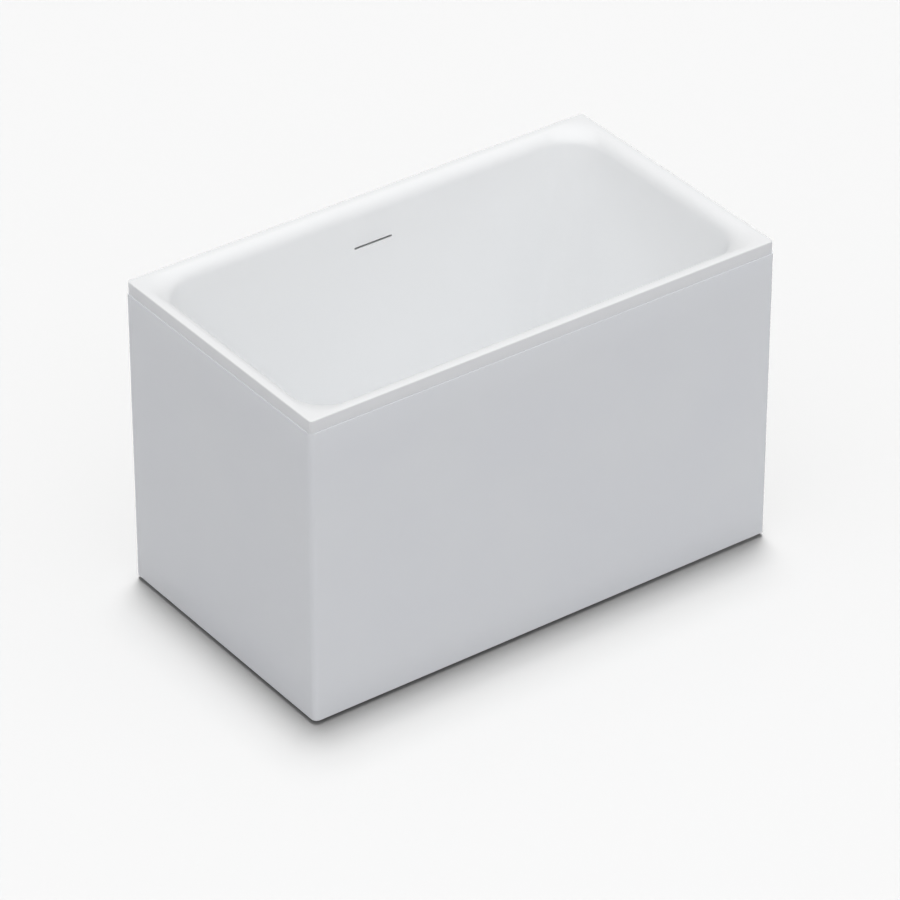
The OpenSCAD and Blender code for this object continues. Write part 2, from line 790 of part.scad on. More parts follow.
module wall_brackets() color("gray") difference() {
    bracket_frames() difference() {
        union() {
            translate([post_w / 2, -bracket_leg, -bracket_h / 2]) cube([angle_t, bracket_leg, bracket_h]);
            translate([post_w / 2, -angle_t, -bracket_h / 2]) cube([bracket_l + angle_t, angle_t, bracket_h]);
        }
        for (s = [-1, 1]) translate([bracket_x, 0, s * bracket_spacing / 2])
            rod_y(-angle_t - cut, cut, bracket_hole_d);
    }
    frame_screw_places() screw_hole();
}

// Waste

module waste_flange() color("lightgray") at_waste() {
    difference() {
        union() {
            translate([0, 0, washer_z]) cylinder(h = flange_t - 1, d = flange_d);
            translate([0, 0, washer_z]) cylinder(h = flange_t, d = flange_d - 4);
            translate([0, 0, sleeve_z]) cylinder(h = flange_z - sleeve_z - 1, d = sleeve_d);
        }
        translate([0, 0, sleeve_z - cut]) cylinder(h = flange_z - sleeve_z + 2 * cut, d = sleeve_bore);
    }
    for (a = [0, 90]) rotate([0, 0, a]) difference() {
        translate([-sleeve_bore / 2 - 1, -spider_w / 2, sleeve_z])
            cube([sleeve_bore + 2, spider_w, spider_h]);
        translate([0, 0, sleeve_z - cut]) cylinder(h = spider_h + 2 * cut, d = cartridge_d);
    }
}

module waste_washers() color("black") at_waste() {
    ring_z(floor_in_z, washer_t, flange_d - 4, sleeve_d + slack);
    ring_z(body_z, washer_t, body_flange_d, sleeve_d + slack);
}

// Waste body: flange under the basin floor, cup round the sleeve, side inlet and tail pipe
module waste_body() color("white") at_waste() {
    sleeve_seat = sleeve_z - 3;
    difference() {
        union() {
            translate([0, 0, body_z - body_flange_t]) cylinder(h = body_flange_t, d = body_flange_d);
            translate([0, 0, body_low]) cylinder(h = body_z - body_low, d = body_d);
            translate([0, 0, tail_z]) cylinder(h = body_low - tail_z + 1, d = tail_d);
            translate([0, 0, link_z]) rod_y(0, body_side, socket_d);
        }
        translate([0, 0, sleeve_seat]) cylinder(h = body_z - sleeve_seat + cut, d = sleeve_d + slack);
        translate([0, 0, tail_z - cut]) cylinder(h = body_z - tail_z, d = tail_d - 2 * pipe_t);
        translate([0, 0, link_z]) rod_y(0, body_side, pipe_d - 2 * pipe_t);
        translate([0, 0, link_z]) rod_y(body_side - socket_l + 2, body_side + cut, pipe_d + slack);
    }
}

module plug_cap() color("lightgray") at_waste() {
    z = plug_z + washer_t;
    crown = 1.5;
    translate([0, 0, z]) cylinder(h = plug_t, d = plug_d);
    translate([0, 0, z + plug_t]) cylinder(h = crown, d1 = plug_d - 1, d2 = plug_d - 8);
}

module plug_seal() color("black") at_waste()
    ring_z(plug_z, washer_t, plug_d - 4, sleeve_bore - 4);

module plug_stem() color("goldenrod") at_waste() {
    translate([0, 0, stem_z]) cylinder(h = stem_l, d = stem_d);
}

module plug_cartridge() color("goldenrod") at_waste() difference() {
    translate([0, 0, sleeve_z]) cylinder(h = cartridge_top - sleeve_z, d = cartridge_d);
    translate([0, 0, stem_z - clear]) cylinder(h = stem_l, d = stem_d + 2 * fit);
}

// Trap and outlet

module trap_body() color("white") at_waste() {
    difference() {
        union() {
            translate([0, 0, trap_low]) cylinder(h = trap_top - trap_low, d = trap_d);
            translate([0, 0, outlet_z]) rod_x(0, trap_side, outlet_socket_d);
        }
        translate([0, 0, trap_low - cut])
            cylinder(h = trap_top - trap_low - trap_t + cut, d = trap_d - 2 * trap_t);
        translate([0, 0, trap_low]) cylinder(h = trap_top - trap_low + cut, d = tail_d + slack);
        translate([0, 0, outlet_z]) rod_x(0, trap_side + cut, outlet_d + slack);
    }
}

module trap_cup() color("white") at_waste() {
    difference() {
        translate([0, 0, trap_clear]) cylinder(h = cup_h, d = trap_d + 10);
        translate([0, 0, trap_clear + trap_t]) cylinder(h = cup_h, d = trap_d + slack);
    }
}

module outlet_elbow() color("white") at_waste() translate([outlet_x, 0, outlet_z]) {
    from = trap_d / 2 + 2 - outlet_x;
    difference() {
        union() {
            sphere(d = outlet_socket_d + bend_swell);
            rotate([-90, 0, 0]) cylinder(h = elbow_l + socket_l, d = outlet_socket_d);
            rod_x(from, 0, outlet_d);
        }
        sphere(d = outlet_d - 2 * pipe_t + 1);
        rod_x(from - cut, 0, outlet_d - 2 * pipe_t);
        rotate([-90, 0, 0]) cylinder(h = elbow_l + socket_l + cut, d = outlet_d - 2 * pipe_t);
        rotate([-90, 0, 0]) translate([0, 0, elbow_l]) cylinder(h = socket_l + cut, d = outlet_d + slack);
    }
}

module outlet_pipe() color("white") translate([outlet_x, 0, outlet_z]) difference() {
    union() {
        rod_y(waste_y + elbow_l, outlet_end, outlet_d);
        rod_y(outlet_end - spigot_l - collar_w, outlet_end - spigot_l, outlet_d + 2 * collar_w);
    }
    rod_y(waste_y + elbow_l - cut, outlet_end + cut, outlet_d - 2 * pipe_t);
}

// A coupling nut along Z over the mouth of a socket, the pipe leaving upwards
module coupling_nut(pipe, socket) {
    difference() {
        translate([0, 0, nut_lip - nut_l]) cylinder(h = nut_l, d = socket + 2 * nut_rim, $fn = 10);
        translate([0, 0, nut_lip - nut_l - cut]) cylinder(h = nut_l - nut_lip + cut, d = socket);
        translate([0, 0, -cut]) cylinder(h = nut_lip + 2 * cut, d = pipe + slack);
    }
}

module coupling_nuts() color("white") {
    at_waste() {
        translate([0, body_side, link_z]) rotate([-90, 0, 0]) coupling_nut(pipe_d, socket_d);
        translate([trap_side, 0, outlet_z]) rotate([0, 90, 0]) coupling_nut(outlet_d, outlet_socket_d);
        translate([outlet_x, elbow_l + socket_l, outlet_z]) rotate([-90, 0, 0])
            coupling_nut(outlet_d, outlet_socket_d);
    }
    translate([0, pipe_y, link_z]) for (t = [0, 90]) rotate([t, 0, 0])
        translate([0, 0, bend_l + socket_l]) coupling_nut(pipe_d, socket_d);
    translate([0, pipe_y, spigot_low]) rotate([180, 0, 0]) coupling_nut(pipe_d, socket_d);
}

// Overflow

// Everything on the basin's side of a plane that lies behind the sloping rear wall by a gap
module before_wall(gap, w, h) {
    translate([0, housing_y, slot_z]) rotate([-side_slope, 0, 0])
        translate([-w / 2, gap - half_w, -h / 2]) cube([w, half_w, h]);
}

module overflow_housing() color("white") {
    back = half_w - housing_back;
    front = housing_y - 20;
    difference() {
        union() {
            translate([-housing_w / 2, front, housing_low]) cube([housing_w, back - front, housing_h]);
            translate([0, pipe_y, spigot_low]) cylinder(h = housing_low - spigot_low + 1, d = socket_d);
        }
        translate([housing_t - housing_w / 2, front - cut, housing_low + housing_t])
            cube([housing_w - 2 * housing_t, back - front - housing_t + cut, housing_h - 2 * housing_t]);
        translate([0, pipe_y, spigot_low - cut])
            cylinder(h = housing_low - spigot_low + housing_t + 2 * cut, d = pipe_d - 2 * pipe_t);
        translate([0, pipe_y, spigot_low - cut])
            cylinder(h = spigot_in + cut, d = pipe_d + slack);
        before_wall(seal_t, 2 * housing_w, 4 * housing_h);
    }
}

module overflow_seal() color("black") {
    difference() {
        translate([0, housing_y, slot_z]) rotate([-side_slope, 0, 0])
            translate([-housing_w / 2, 0, housing_low - slot_z + 2]) cube([housing_w, seal_t, housing_h - 4]);
        translate([0, housing_y + 20, slot_z]) rotate([90, 0, 0])
            linear_extrude(height = 40) slot_shape(slot_l + 6, slot_h + 6);
    }
}

module overflow_pipe() color("white") {
    low = link_z + bend_l;
    top = spigot_low + spigot_in;
    translate([0, pipe_y, 0]) ring_z(low, top - low, pipe_d, pipe_d - 2 * pipe_t);
}

// A bend with one socket up and one to the front
module overflow_elbow() color("white") translate([0, pipe_y, link_z]) {
    difference() {
        union() {
            sphere(d = socket_d + bend_swell);
            for (t = [0, 90]) rotate([t, 0, 0]) cylinder(h = bend_l + socket_l, d = socket_d);
        }
        sphere(d = pipe_d - 2 * pipe_t + 1);
        for (t = [0, 90]) rotate([t, 0, 0]) {
            cylinder(h = bend_l + socket_l + cut, d = pipe_d - 2 * pipe_t);
            translate([0, 0, bend_l]) cylinder(h = socket_l + cut, d = pipe_d + slack);
        }
    }
}

module link_pipe() color("white") translate([0, 0, link_z]) {
    from = waste_y + body_side - socket_l + 2;
    to = pipe_y - bend_l;
    difference() {
        rod_y(from, to, pipe_d);
        rod_y(from - cut, to + cut, pipe_d - 2 * pipe_t);
    }
}

// The part

tub_shell();
base_board();
rim_batten_front();
rim_batten_rear();
rim_batten_left();
rim_batten_right();
bearer_front();
bearer_rear();
cross_member_left();
cross_member_middle();
cross_member_right();
for (i = [0 : len(POSTS) - 1]) post(POSTS[i]);
post_brackets();
tube_caps();
rim_pads();
frame_bolts();
frame_nuts();
frame_screws();
board_screws();
weld_nuts();
lock_nuts();
for (f = FEET) foot_pad(f);
for (f = FEET) foot_spindle(f);
apron();
apron_batten_front_top();
apron_batten_front_bottom();
apron_batten_side_top();
apron_batten_side_bottom();
apron_magnets();
strike_plates();
apron_ledges();
wall_brackets();
waste_flange();
waste_washers();
waste_body();
plug_cap();
plug_seal();
plug_stem();
plug_cartridge();
trap_body();
trap_cup();
outlet_elbow();
outlet_pipe();
coupling_nuts();
overflow_housing();
overflow_seal();
overflow_pipe();
overflow_elbow();
link_pipe();
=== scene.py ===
# Corner bathtub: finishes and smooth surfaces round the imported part, in metres and in the part's own frame
import math
import bmesh
import bpy
from mathutils import Matrix, Vector


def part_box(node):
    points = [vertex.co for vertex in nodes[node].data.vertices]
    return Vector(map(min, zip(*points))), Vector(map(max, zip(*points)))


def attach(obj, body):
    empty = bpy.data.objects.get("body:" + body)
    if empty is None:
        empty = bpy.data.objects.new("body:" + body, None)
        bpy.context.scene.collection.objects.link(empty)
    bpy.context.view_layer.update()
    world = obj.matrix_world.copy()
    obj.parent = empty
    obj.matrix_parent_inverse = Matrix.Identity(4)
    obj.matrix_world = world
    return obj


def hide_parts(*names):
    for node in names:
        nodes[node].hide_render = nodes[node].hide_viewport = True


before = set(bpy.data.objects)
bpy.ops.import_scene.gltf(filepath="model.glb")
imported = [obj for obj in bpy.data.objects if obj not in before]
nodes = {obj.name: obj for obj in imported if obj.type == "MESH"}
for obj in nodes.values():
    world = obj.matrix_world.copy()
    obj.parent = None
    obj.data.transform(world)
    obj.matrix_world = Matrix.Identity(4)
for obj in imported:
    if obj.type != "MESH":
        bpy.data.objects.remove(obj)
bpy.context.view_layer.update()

mm = 0.001
feet = ["front_left", "front_right", "rear_left", "rear_right", "middle"]


# Helpers for materials

def linear(hexColour):
    parts = [int(hexColour[i:i + 2], 16) / 255 for i in (1, 3, 5)]
    return [p / 12.92 if p <= 0.04045 else ((p + 0.055) / 1.055) ** 2.4 for p in parts] + [1.0]


def addNode(tree, kind, sockets=(), **settings):
    made = tree.nodes.new(kind)
    for name, value in settings.items():
        setattr(made, name, value)
    for socket, value in dict(sockets).items():
        if isinstance(value, bpy.types.NodeSocket):
            tree.links.new(value, made.inputs[socket])
        else:
            made.inputs[socket].default_value = value
    return made


def startMaterial(name, colour, roughness, metallic=0.0, ior=None):
    made = bpy.data.materials.new(name)
    made.use_nodes = True
    made.diffuse_color = linear(colour)
    shader = made.node_tree.nodes["Principled BSDF"]
    shader.inputs["Base Color"].default_value = linear(colour)
    shader.inputs["Roughness"].default_value = roughness
    shader.inputs["Metallic"].default_value = metallic
    if ior:
        shader.inputs["IOR"].default_value = ior
    return made, made.node_tree, shader


# Object coordinates in metres, turned and then scaled per axis, for a pattern that has a direction
def patternCoords(tree, scale=(1, 1, 1), turn=None):
    coords = addNode(tree, "ShaderNodeTexCoord").outputs["Object"]
    if turn:
        coords = addNode(tree, "ShaderNodeMapping", {"Vector": coords, "Rotation": turn}).outputs["Vector"]
    return addNode(tree, "ShaderNodeMapping", {"Vector": coords, "Scale": scale}).outputs["Vector"]


# A soft random pattern as a value from low to high; size is the real size of its patches in millimetres
def patches(tree, size, low, high, coords=None, detail=2.0, edges=(0.3, 0.7)):
    noise = addNode(tree, "ShaderNodeTexNoise", {"Vector": coords or patternCoords(tree),
                                                 "Scale": 1000 / size, "Detail": detail})
    return addNode(tree, "ShaderNodeMapRange", {"Value": noise.outputs["Fac"], "From Min": edges[0],
                                                "From Max": edges[1], "To Min": low, "To Max": high}).outputs[0]


# Gives each named socket of the shader the output that feeds it
def feedShader(tree, shader, feeds):
    for socket, output in feeds.items():
        tree.links.new(output, shader.inputs[socket])


# Materials, each with its own values: colours in sRGB, sizes and depths in millimetres

# The band's colours are the basin's white made darker: painted shade on the rim's side face, which is one sheet with
# the basin
acrylicLook = {
    "basin": ("#FAFBFC", "#F9FAFB", 0.42), "band": ("#F3F4F7", "#F2F3F6", 0.45), "apron": ("#F0F2F6", "#EEF0F5", 0.48),
    "shadePatch": 260, "glossPatch": 35, "glossSpread": 0.03, "ripple": 90, "rippleDepth": 0.05,
}


# Sanitary acrylic, drawn hot over a mould: an even cool white with a deep gloss, and a slow ripple seen only in
# reflections; the rim's side face and the apron have less of the mould's gloss, and the rim's side face is the basin's
# white made darker, as painted shade
def acrylic(name, colour, shade, roughness):
    look = acrylicLook
    made, tree, shader = startMaterial(name, colour, roughness, ior=1.49)
    tone = addNode(tree, "ShaderNodeMix", {0: patches(tree, look["shadePatch"], 0.0, 1.0),
                                           6: linear(colour), 7: linear(shade)}, data_type="RGBA").outputs[2]
    gloss = patches(tree, look["glossPatch"], roughness - look["glossSpread"], roughness + look["glossSpread"])
    ripple = addNode(tree, "ShaderNodeBump", {"Height": patches(tree, look["ripple"], 0.0, 1.0),
                                              "Distance": look["rippleDepth"] * mm}).outputs["Normal"]
    feedShader(tree, shader, {"Base Color": tone, "Roughness": gloss, "Normal": ripple})
    return made


fibreLook = {
    "resin": "#D9DCCB", "strand": "#EEF0E6", "strandLength": 50, "strandWidth": 1.6, "strandEdges": (0.6, 0.7),
    "longWallTurns": (0.3, 1.3, 2.4), "endWallTurns": (0.8, 1.9, 2.9), "lump": 14, "lumpHeight": 1.6, "depth": 0.5,
    "bumpStrength": 0.8, "roughness": 0.42,
}


# Chopped glass fibre in polyester resin, rolled on by hand: pale green-grey, long stray strands, a lumpy satin surface
def glassFibre():
    look = fibreLook
    made, tree, shader = startMaterial("glassFibreBack", look["resin"], look["roughness"], ior=1.55)
    along, across = 1000 / look["strandLength"], 1000 / look["strandWidth"]
    turns = [(0, angle, 0) for angle in look["longWallTurns"]]
    turns += [(angle, 0, math.pi / 2) for angle in look["endWallTurns"]]
    strands = None
    for turn in turns:
        noise = addNode(tree, "ShaderNodeTexNoise", {
            "Vector": patternCoords(tree, (along, across, across), turn), "Scale": 1.0, "Detail": 1.0})
        lines = addNode(tree, "ShaderNodeMapRange", {"Value": noise.outputs["Fac"], "From Min": look["strandEdges"][0],
                                                     "From Max": look["strandEdges"][1]}).outputs[0]
        if strands:
            lines = addNode(tree, "ShaderNodeMath", {0: strands, 1: lines}, operation="MAXIMUM").outputs[0]
        strands = lines
    tone = addNode(tree, "ShaderNodeMix", {0: strands, 6: linear(look["resin"]), 7: linear(look["strand"])},
                   data_type="RGBA").outputs[2]
    lumps = addNode(tree, "ShaderNodeMath", {0: strands, 1: patches(tree, look["lump"], 0.0, look["lumpHeight"])},
                    operation="ADD").outputs[0]
    bump = addNode(tree, "ShaderNodeBump", {"Height": lumps, "Distance": look["depth"] * mm,
                                            "Strength": look["bumpStrength"]}).outputs["Normal"]
    feedShader(tree, shader, {"Base Color": tone, "Normal": bump})
    return made


tubeLook = {"metal": "#B7BABC", "dark": "#AEB1B4", "pale": "#C3C6C8", "crystal": 9, "roughness": (0.34, 0.46)}


# Pre-galvanised steel tube: dull silver with soft patches of zinc crystals
def galvanised():
    look = tubeLook
    made, tree, shader = startMaterial("galvanisedSteel", look["metal"], roughness=0.4, metallic=1.0)
    crystals = addNode(tree, "ShaderNodeTexVoronoi", {"Vector": patternCoords(tree), "Scale": 1000 / look["crystal"]})
    grey = addNode(tree, "ShaderNodeSeparateColor", {"Color": crystals.outputs["Color"]}).outputs[0]
    tone = addNode(tree, "ShaderNodeMix", {0: grey, 6: linear(look["dark"]), 7: linear(look["pale"])},
                   data_type="RGBA").outputs[2]
    gloss = addNode(tree, "ShaderNodeMapRange", {"Value": grey, "To Min": look["roughness"][0],
                                                 "To Max": look["roughness"][1]}).outputs[0]
    feedShader(tree, shader, {"Base Color": tone, "Roughness": gloss})
    return made


zincLook = {
    "sheet": ("#B9BCBD", "#A9AEB2", 0.34), "fasteners": ("#C9CCCD", "#BCC3CA", 0.26),
    "cloudPatch": 7, "glossPatch": 3, "brighter": 0.04, "duller": 0.06,
}


# Zinc-plated steel, stamped or rolled: brighter than the tubes, with a faint blue passivation in cloudy patches
def zincPlated(name, colour, cloud, roughness):
    look = zincLook
    made, tree, shader = startMaterial(name, colour, roughness, metallic=1.0)
    tone = addNode(tree, "ShaderNodeMix", {0: patches(tree, look["cloudPatch"], 0.0, 1.0, detail=4.0),
                                           6: linear(colour), 7: linear(cloud)}, data_type="RGBA").outputs[2]
    gloss = patches(tree, look["glossPatch"], roughness - look["brighter"], roughness + look["duller"])
    feedShader(tree, shader, {"Base Color": tone, "Roughness": gloss})
    return made


brassLook = {"metal": "#C7A25A", "ringGap": 1.579, "ringDepth": 0.03, "glossPatch": 6, "roughness": (0.2, 0.3)}


# Turned brass: warm yellow with fine lathe rings, drawn much wider apart than real ones so that they show
def turnedBrass():
    look = brassLook
    made, tree, shader = startMaterial("turnedBrass", look["metal"], roughness=0.24, metallic=1.0)
    ringsPerMetre = 1000 / look["ringGap"]
    rings = addNode(tree, "ShaderNodeTexWave", {
        "Vector": patternCoords(tree), "Scale": ringsPerMetre * 2 * math.pi / 20},  # the wave turns 20 radians a unit
        bands_direction="Z")
    bump = addNode(tree, "ShaderNodeBump", {"Height": rings.outputs["Fac"],
                                            "Distance": look["ringDepth"] * mm}).outputs["Normal"]
    feedShader(tree, shader, {"Roughness": patches(tree, look["glossPatch"], *look["roughness"]), "Normal": bump})
    return made


mirrorLook = {"chrome": ("#DFE1E4", 0.05), "nickel": ("#D2CFC8", 0.12), "cloudPatch": 12, "duller": 0.07}


# Polished chrome on brass, or nickel: a clear mirror with the slightest cloud from handling
def polishedMetal(name, colour, roughness):
    look = mirrorLook
    made, tree, shader = startMaterial(name, colour, roughness, metallic=1.0)
    cloud = patches(tree, look["cloudPatch"], roughness, roughness + look["duller"], detail=3.0)
    feedShader(tree, shader, {"Roughness": cloud})
    return made


# For each plastic: its colour and shade, roughness, the size and depth of its grain, and IOR
mouldedLook = {
    "rubber": ("#1C1D1E", "#242526", 0.72, 2.0, 0.08, 1.5), "nylon": ("#35373A", "#2E3033", 0.48, 1.6, 0.05, 1.53),
    "polypropylene": ("#ECEEEE", "#E6E9EA", 0.36, 2.5, 0.03, 1.49),
    "shadePatch": 30, "glossPatch": 8, "glossSpread": 0.05, "bumpStrength": 0.6,
}


# Moulded plastics and rubber: one colour through, and the fine dull grain of the mould, drawn coarse enough to show
def moulded(name, colour, shade, roughness, grain, depth, ior):
    look = mouldedLook
    made, tree, shader = startMaterial(name, colour, roughness, ior=ior)
    tone = addNode(tree, "ShaderNodeMix", {0: patches(tree, look["shadePatch"], 0.0, 1.0),
                                           6: linear(colour), 7: linear(shade)}, data_type="RGBA").outputs[2]
    gloss = patches(tree, look["glossPatch"], roughness - look["glossSpread"], roughness + look["glossSpread"])
    bump = addNode(tree, "ShaderNodeBump", {"Height": patches(tree, grain, 0.0, 1.0), "Distance": depth * mm,
                                            "Strength": look["bumpStrength"]}).outputs["Normal"]
    feedShader(tree, shader, {"Base Color": tone, "Roughness": gloss, "Normal": bump})
    return made


spruceLook = {
    "light": "#DFC08F", "dark": "#B98A54", "cloud": "#D3AF7B", "ringSpacing": 3.0, "perMetreAlong": 3,
    "lineEdges": (0.42, 0.62), "cloudTimes": 9, "depth": 0.12, "bumpStrength": 0.5, "roughness": 0.58,
}


# Planed spruce: pale wood whose darker late-wood lines run along the piece
def spruce(name, runsAlongY):
    look = spruceLook
    made, tree, shader = startMaterial(name, look["light"], look["roughness"], ior=1.5)
    along, across = look["perMetreAlong"], 1000 / look["ringSpacing"]
    scale = (across, along, across) if runsAlongY else (along, across, across)
    lines = patches(tree, 1000, 0.0, 1.0, patternCoords(tree, scale), 1.0, look["lineEdges"])
    clouds = patches(tree, 1000, 0.0, 1.0, patternCoords(tree, [s / look["cloudTimes"] for s in scale]))
    grain = addNode(tree, "ShaderNodeMix", {0: lines, 6: linear(look["light"]), 7: linear(look["dark"])},
                    data_type="RGBA").outputs[2]
    tone = addNode(tree, "ShaderNodeMix", {0: clouds, 6: grain, 7: linear(look["cloud"])}, data_type="RGBA").outputs[2]
    bump = addNode(tree, "ShaderNodeBump", {"Height": lines, "Distance": look["depth"] * mm,
                                            "Strength": look["bumpStrength"]}).outputs["Normal"]
    feedShader(tree, shader, {"Base Color": tone, "Normal": bump})
    return made


boardLook = {
    "light": "#C6A67C", "dark": "#8A6B48", "flake": 4.0, "flakeStretch": (1, 1.6, 2.4), "depth": 0.3,
    "bumpStrength": 0.7, "roughness": 0.72,
}


# Chipboard with cut edges: flakes of mixed brown, matt, with open pores between them
def chipboard():
    look = boardLook
    made, tree, shader = startMaterial("chipboard", look["light"], look["roughness"], ior=1.5)
    flakes = addNode(tree, "ShaderNodeTexVoronoi", {"Vector": patternCoords(tree, look["flakeStretch"]),
                                                    "Scale": 1000 / look["flake"]})
    brown = addNode(tree, "ShaderNodeSeparateColor", {"Color": flakes.outputs["Color"]}).outputs[0]
    tone = addNode(tree, "ShaderNodeMix", {0: brown, 6: linear(look["light"]), 7: linear(look["dark"])},
                   data_type="RGBA").outputs[2]
    bump = addNode(tree, "ShaderNodeBump", {"Height": flakes.outputs["Distance"], "Distance": look["depth"] * mm,
                                            "Strength": look["bumpStrength"]}).outputs["Normal"]
    feedShader(tree, shader, {"Base Color": tone, "Normal": bump})
    return made


basinAcrylic = acrylic("sanitaryAcrylic", *acrylicLook["basin"])
# The rim's side face: a darker copy of the basin's acrylic, painted shade
paintedShadeBandAcrylic = acrylic("paintedShadeBandAcrylic", *acrylicLook["band"])
apronAcrylic = acrylic("apronAcrylic", *acrylicLook["apron"])
fibreBack = glassFibre()
steelTube = galvanised()
zincSheet = zincPlated("zincPlatedSheet", *zincLook["sheet"])
zincParts = zincPlated("zincPlatedFasteners", *zincLook["fasteners"])
brass = turnedBrass()
chrome = polishedMetal("chromedBrass", *mirrorLook["chrome"])
nickel = polishedMetal("nickelPlate", *mirrorLook["nickel"])
rubber = moulded("epdmRubber", *mouldedLook["rubber"])
nylon = moulded("mouldedNylon", *mouldedLook["nylon"])
polypropylene = moulded("mouldedPolypropylene", *mouldedLook["polypropylene"])
woodAlongX = spruce("spruceAlongTheTub", runsAlongY=False)
woodAlongY = spruce("spruceAcrossTheTub", runsAlongY=True)
boardWood = chipboard()
print("materials made")


# Helpers for meshes

def finishMesh(mesh, sharpAngle=32):
    mesh.shade_smooth()
    mesh.set_sharp_from_angle(angle=math.radians(sharpAngle))


def addPiece(name, mesh, materials, body, replaced):
    for material in materials:
        mesh.materials.append(material)
    made = bpy.data.objects.new(name, mesh)
    bpy.context.scene.collection.objects.link(made)
    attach(made, body)
    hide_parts(*replaced)
    return made


def meshOfFaces(name, points, faces):
    mesh = bpy.data.meshes.new(name)
    mesh.from_pydata([Vector(p) * mm for p in points], [], faces)
    work = bmesh.new()
    work.from_mesh(mesh)
    bmesh.ops.recalc_face_normals(work, faces=work.faces)
    work.to_mesh(mesh)
    work.free()
    return mesh


# Joins rings of equal length into a surface; each ring is a list of points in millimetres
def skinRings(name, rings, closedAll=False, capEnds=False):
    count = len(rings[0])
    faces = []
    for i in range(len(rings) if closedAll else len(rings) - 1):
        k = (i + 1) % len(rings)
        for j in range(count):
            faces.append((i * count + j, i * count + (j + 1) % count, k * count + (j + 1) % count, k * count + j))
    if capEnds:
        faces.append(tuple(range(count)))
        faces.append(tuple(range((len(rings) - 1) * count, len(rings) * count)))
    return meshOfFaces(name, [p for ring in rings for p in ring], faces)


# Turns a closed profile of (radius, height) round an axis; ribs is (count, depth, first row, last row) for a grip
def turnProfile(name, profile, centre, steps=64, ribs=None, axis=None):
    rings = []
    for row, (radius, height) in enumerate(profile):
        ring = []
        for k in range(steps):
            angle = 2 * math.pi * k / steps
            r = radius
            if ribs and ribs[2] <= row <= ribs[3]:
                r -= ribs[1] * (0.5 - 0.5 * math.cos(angle * ribs[0])) ** 2
            ring.append((r * math.cos(angle), r * math.sin(angle), height))
        rings.append(ring)
    mesh = skinRings(name, rings, closedAll=True)
    if axis:
        mesh.transform(axis.to_track_quat("Z", "Y").to_matrix().to_4x4())
    mesh.transform(Matrix.Translation(Vector(centre) * mm))
    return mesh


rounding = {
    "weld": 0.002, "flatAngle": 0.6, "onSide": 0.02, "longEdge": 200, "cornerSteps": 4, "edgeSteps": 2, "edgeAngle": 50,
}


# Copies a CAD node into a mesh of whole faces and rounds its edges; a tube's long edges get the tube's own corners
def roundedCopy(name, source, edge, material, body, tubeRadius=0):
    r = rounding
    work = bmesh.new()
    work.from_mesh(nodes[source].data)
    bmesh.ops.remove_doubles(work, verts=work.verts, dist=r["weld"] * mm)
    bmesh.ops.dissolve_limit(work, angle_limit=math.radians(r["flatAngle"]), verts=work.verts, edges=work.edges)
    if tubeRadius:
        sides = [(axis, corner[axis]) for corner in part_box(source) for axis in range(3)]
        weights = work.edges.layers.float.new("bevel_weight_edge")
        for line in work.edges:
            touched = [all(abs(v.co[axis] - side) < r["onSide"] * mm for v in line.verts) for axis, side in sides]
            if sum(touched) == 2 and line.calc_length() > r["longEdge"] * mm:
                line[weights] = 1.0
    mesh = bpy.data.meshes.new(name)
    work.to_mesh(mesh)
    work.free()
    made = addPiece(name, mesh, [material], body, [source])
    if tubeRadius:
        corners = made.modifiers.new("tube corners", "BEVEL")
        corners.limit_method, corners.width, corners.segments = "WEIGHT", tubeRadius * mm, r["cornerSteps"]
    eased = made.modifiers.new("edges", "BEVEL")
    eased.limit_method, eased.angle_limit = "ANGLE", math.radians(r["edgeAngle"])
    eased.width, eased.segments, eased.use_clamp_overlap = edge * mm, r["edgeSteps"], True
    applyModifiers(made)
    finishMesh(made.data)
    made.modifiers.new("flat faces", "WEIGHTED_NORMAL").keep_sharp = True
    applyModifiers(made)


def applyModifiers(piece):
    depsgraph = bpy.context.evaluated_depsgraph_get()
    mesh = bpy.data.meshes.new_from_object(piece.evaluated_get(depsgraph))
    piece.modifiers.clear()
    piece.data = mesh


# Tub shell, in millimetres as in the part's source

tub = {
    "length": 1200, "width": 675, "height": 756, "rimInset": 1.8, "wasteHeight": 196, "floorFall": 5,
    "rimFlat": 11, "lipWidth": 27, "lipDepth": 28, "mouthRadius": 50, "wallRadius": 90, "floorRadius": 65,
    "rimCornerRadius": 8, "rimEdgeRadius": 2.5, "cutEdge": 1.0, "cutEdgeSteps": 3, "cutEdgeAngle": 60,
    "sideSlope": 6, "endSlope": 6, "backSlope": 10, "shell": 5, "floor": 8, "band": 30,
    "wasteY": 50, "wasteHole": 26, "wastePatch": 44, "patchRadius": 42,
    "slotLength": 99, "slotHeight": 5.5, "slotDrop": 96, "slotSteps": 12, "cutterReach": 20,
    "cornerSteps": 20, "lengthSteps": 40, "widthSteps": 22, "curveSteps": 18, "edgeSteps": 6, "backSteps": 12,
    "rings": {"floor": 6, "wall": 12, "rim": 2, "band": 2, "backRim": 1, "backWall": 10, "backFloor": 4},
}


# A level ring with rounded corners, and with even steps along its sides
def roundedRing(left, right, front, rear, radius, height):
    corners = [(right - radius, rear - radius, 0), (left + radius, rear - radius, 90),
               (left + radius, front + radius, 180), (right - radius, front + radius, 270)]
    ring = []
    for k, (x, y, start) in enumerate(corners):
        for step in range(tub["cornerSteps"] + 1):
            angle = math.radians(start + 90 * step / tub["cornerSteps"])
            ring.append(Vector((x + radius * math.cos(angle), y + radius * math.sin(angle), height)))
        nx, ny, turn = corners[(k + 1) % 4]
        ahead = Vector((nx + radius * math.cos(math.radians(turn)), ny + radius * math.sin(math.radians(turn)), height))
        last = ring[-1].copy()
        steps = tub["lengthSteps"] if k % 2 == 0 else tub["widthSteps"]
        ring += [last.lerp(ahead, s / steps) for s in range(1, steps)]
    return ring


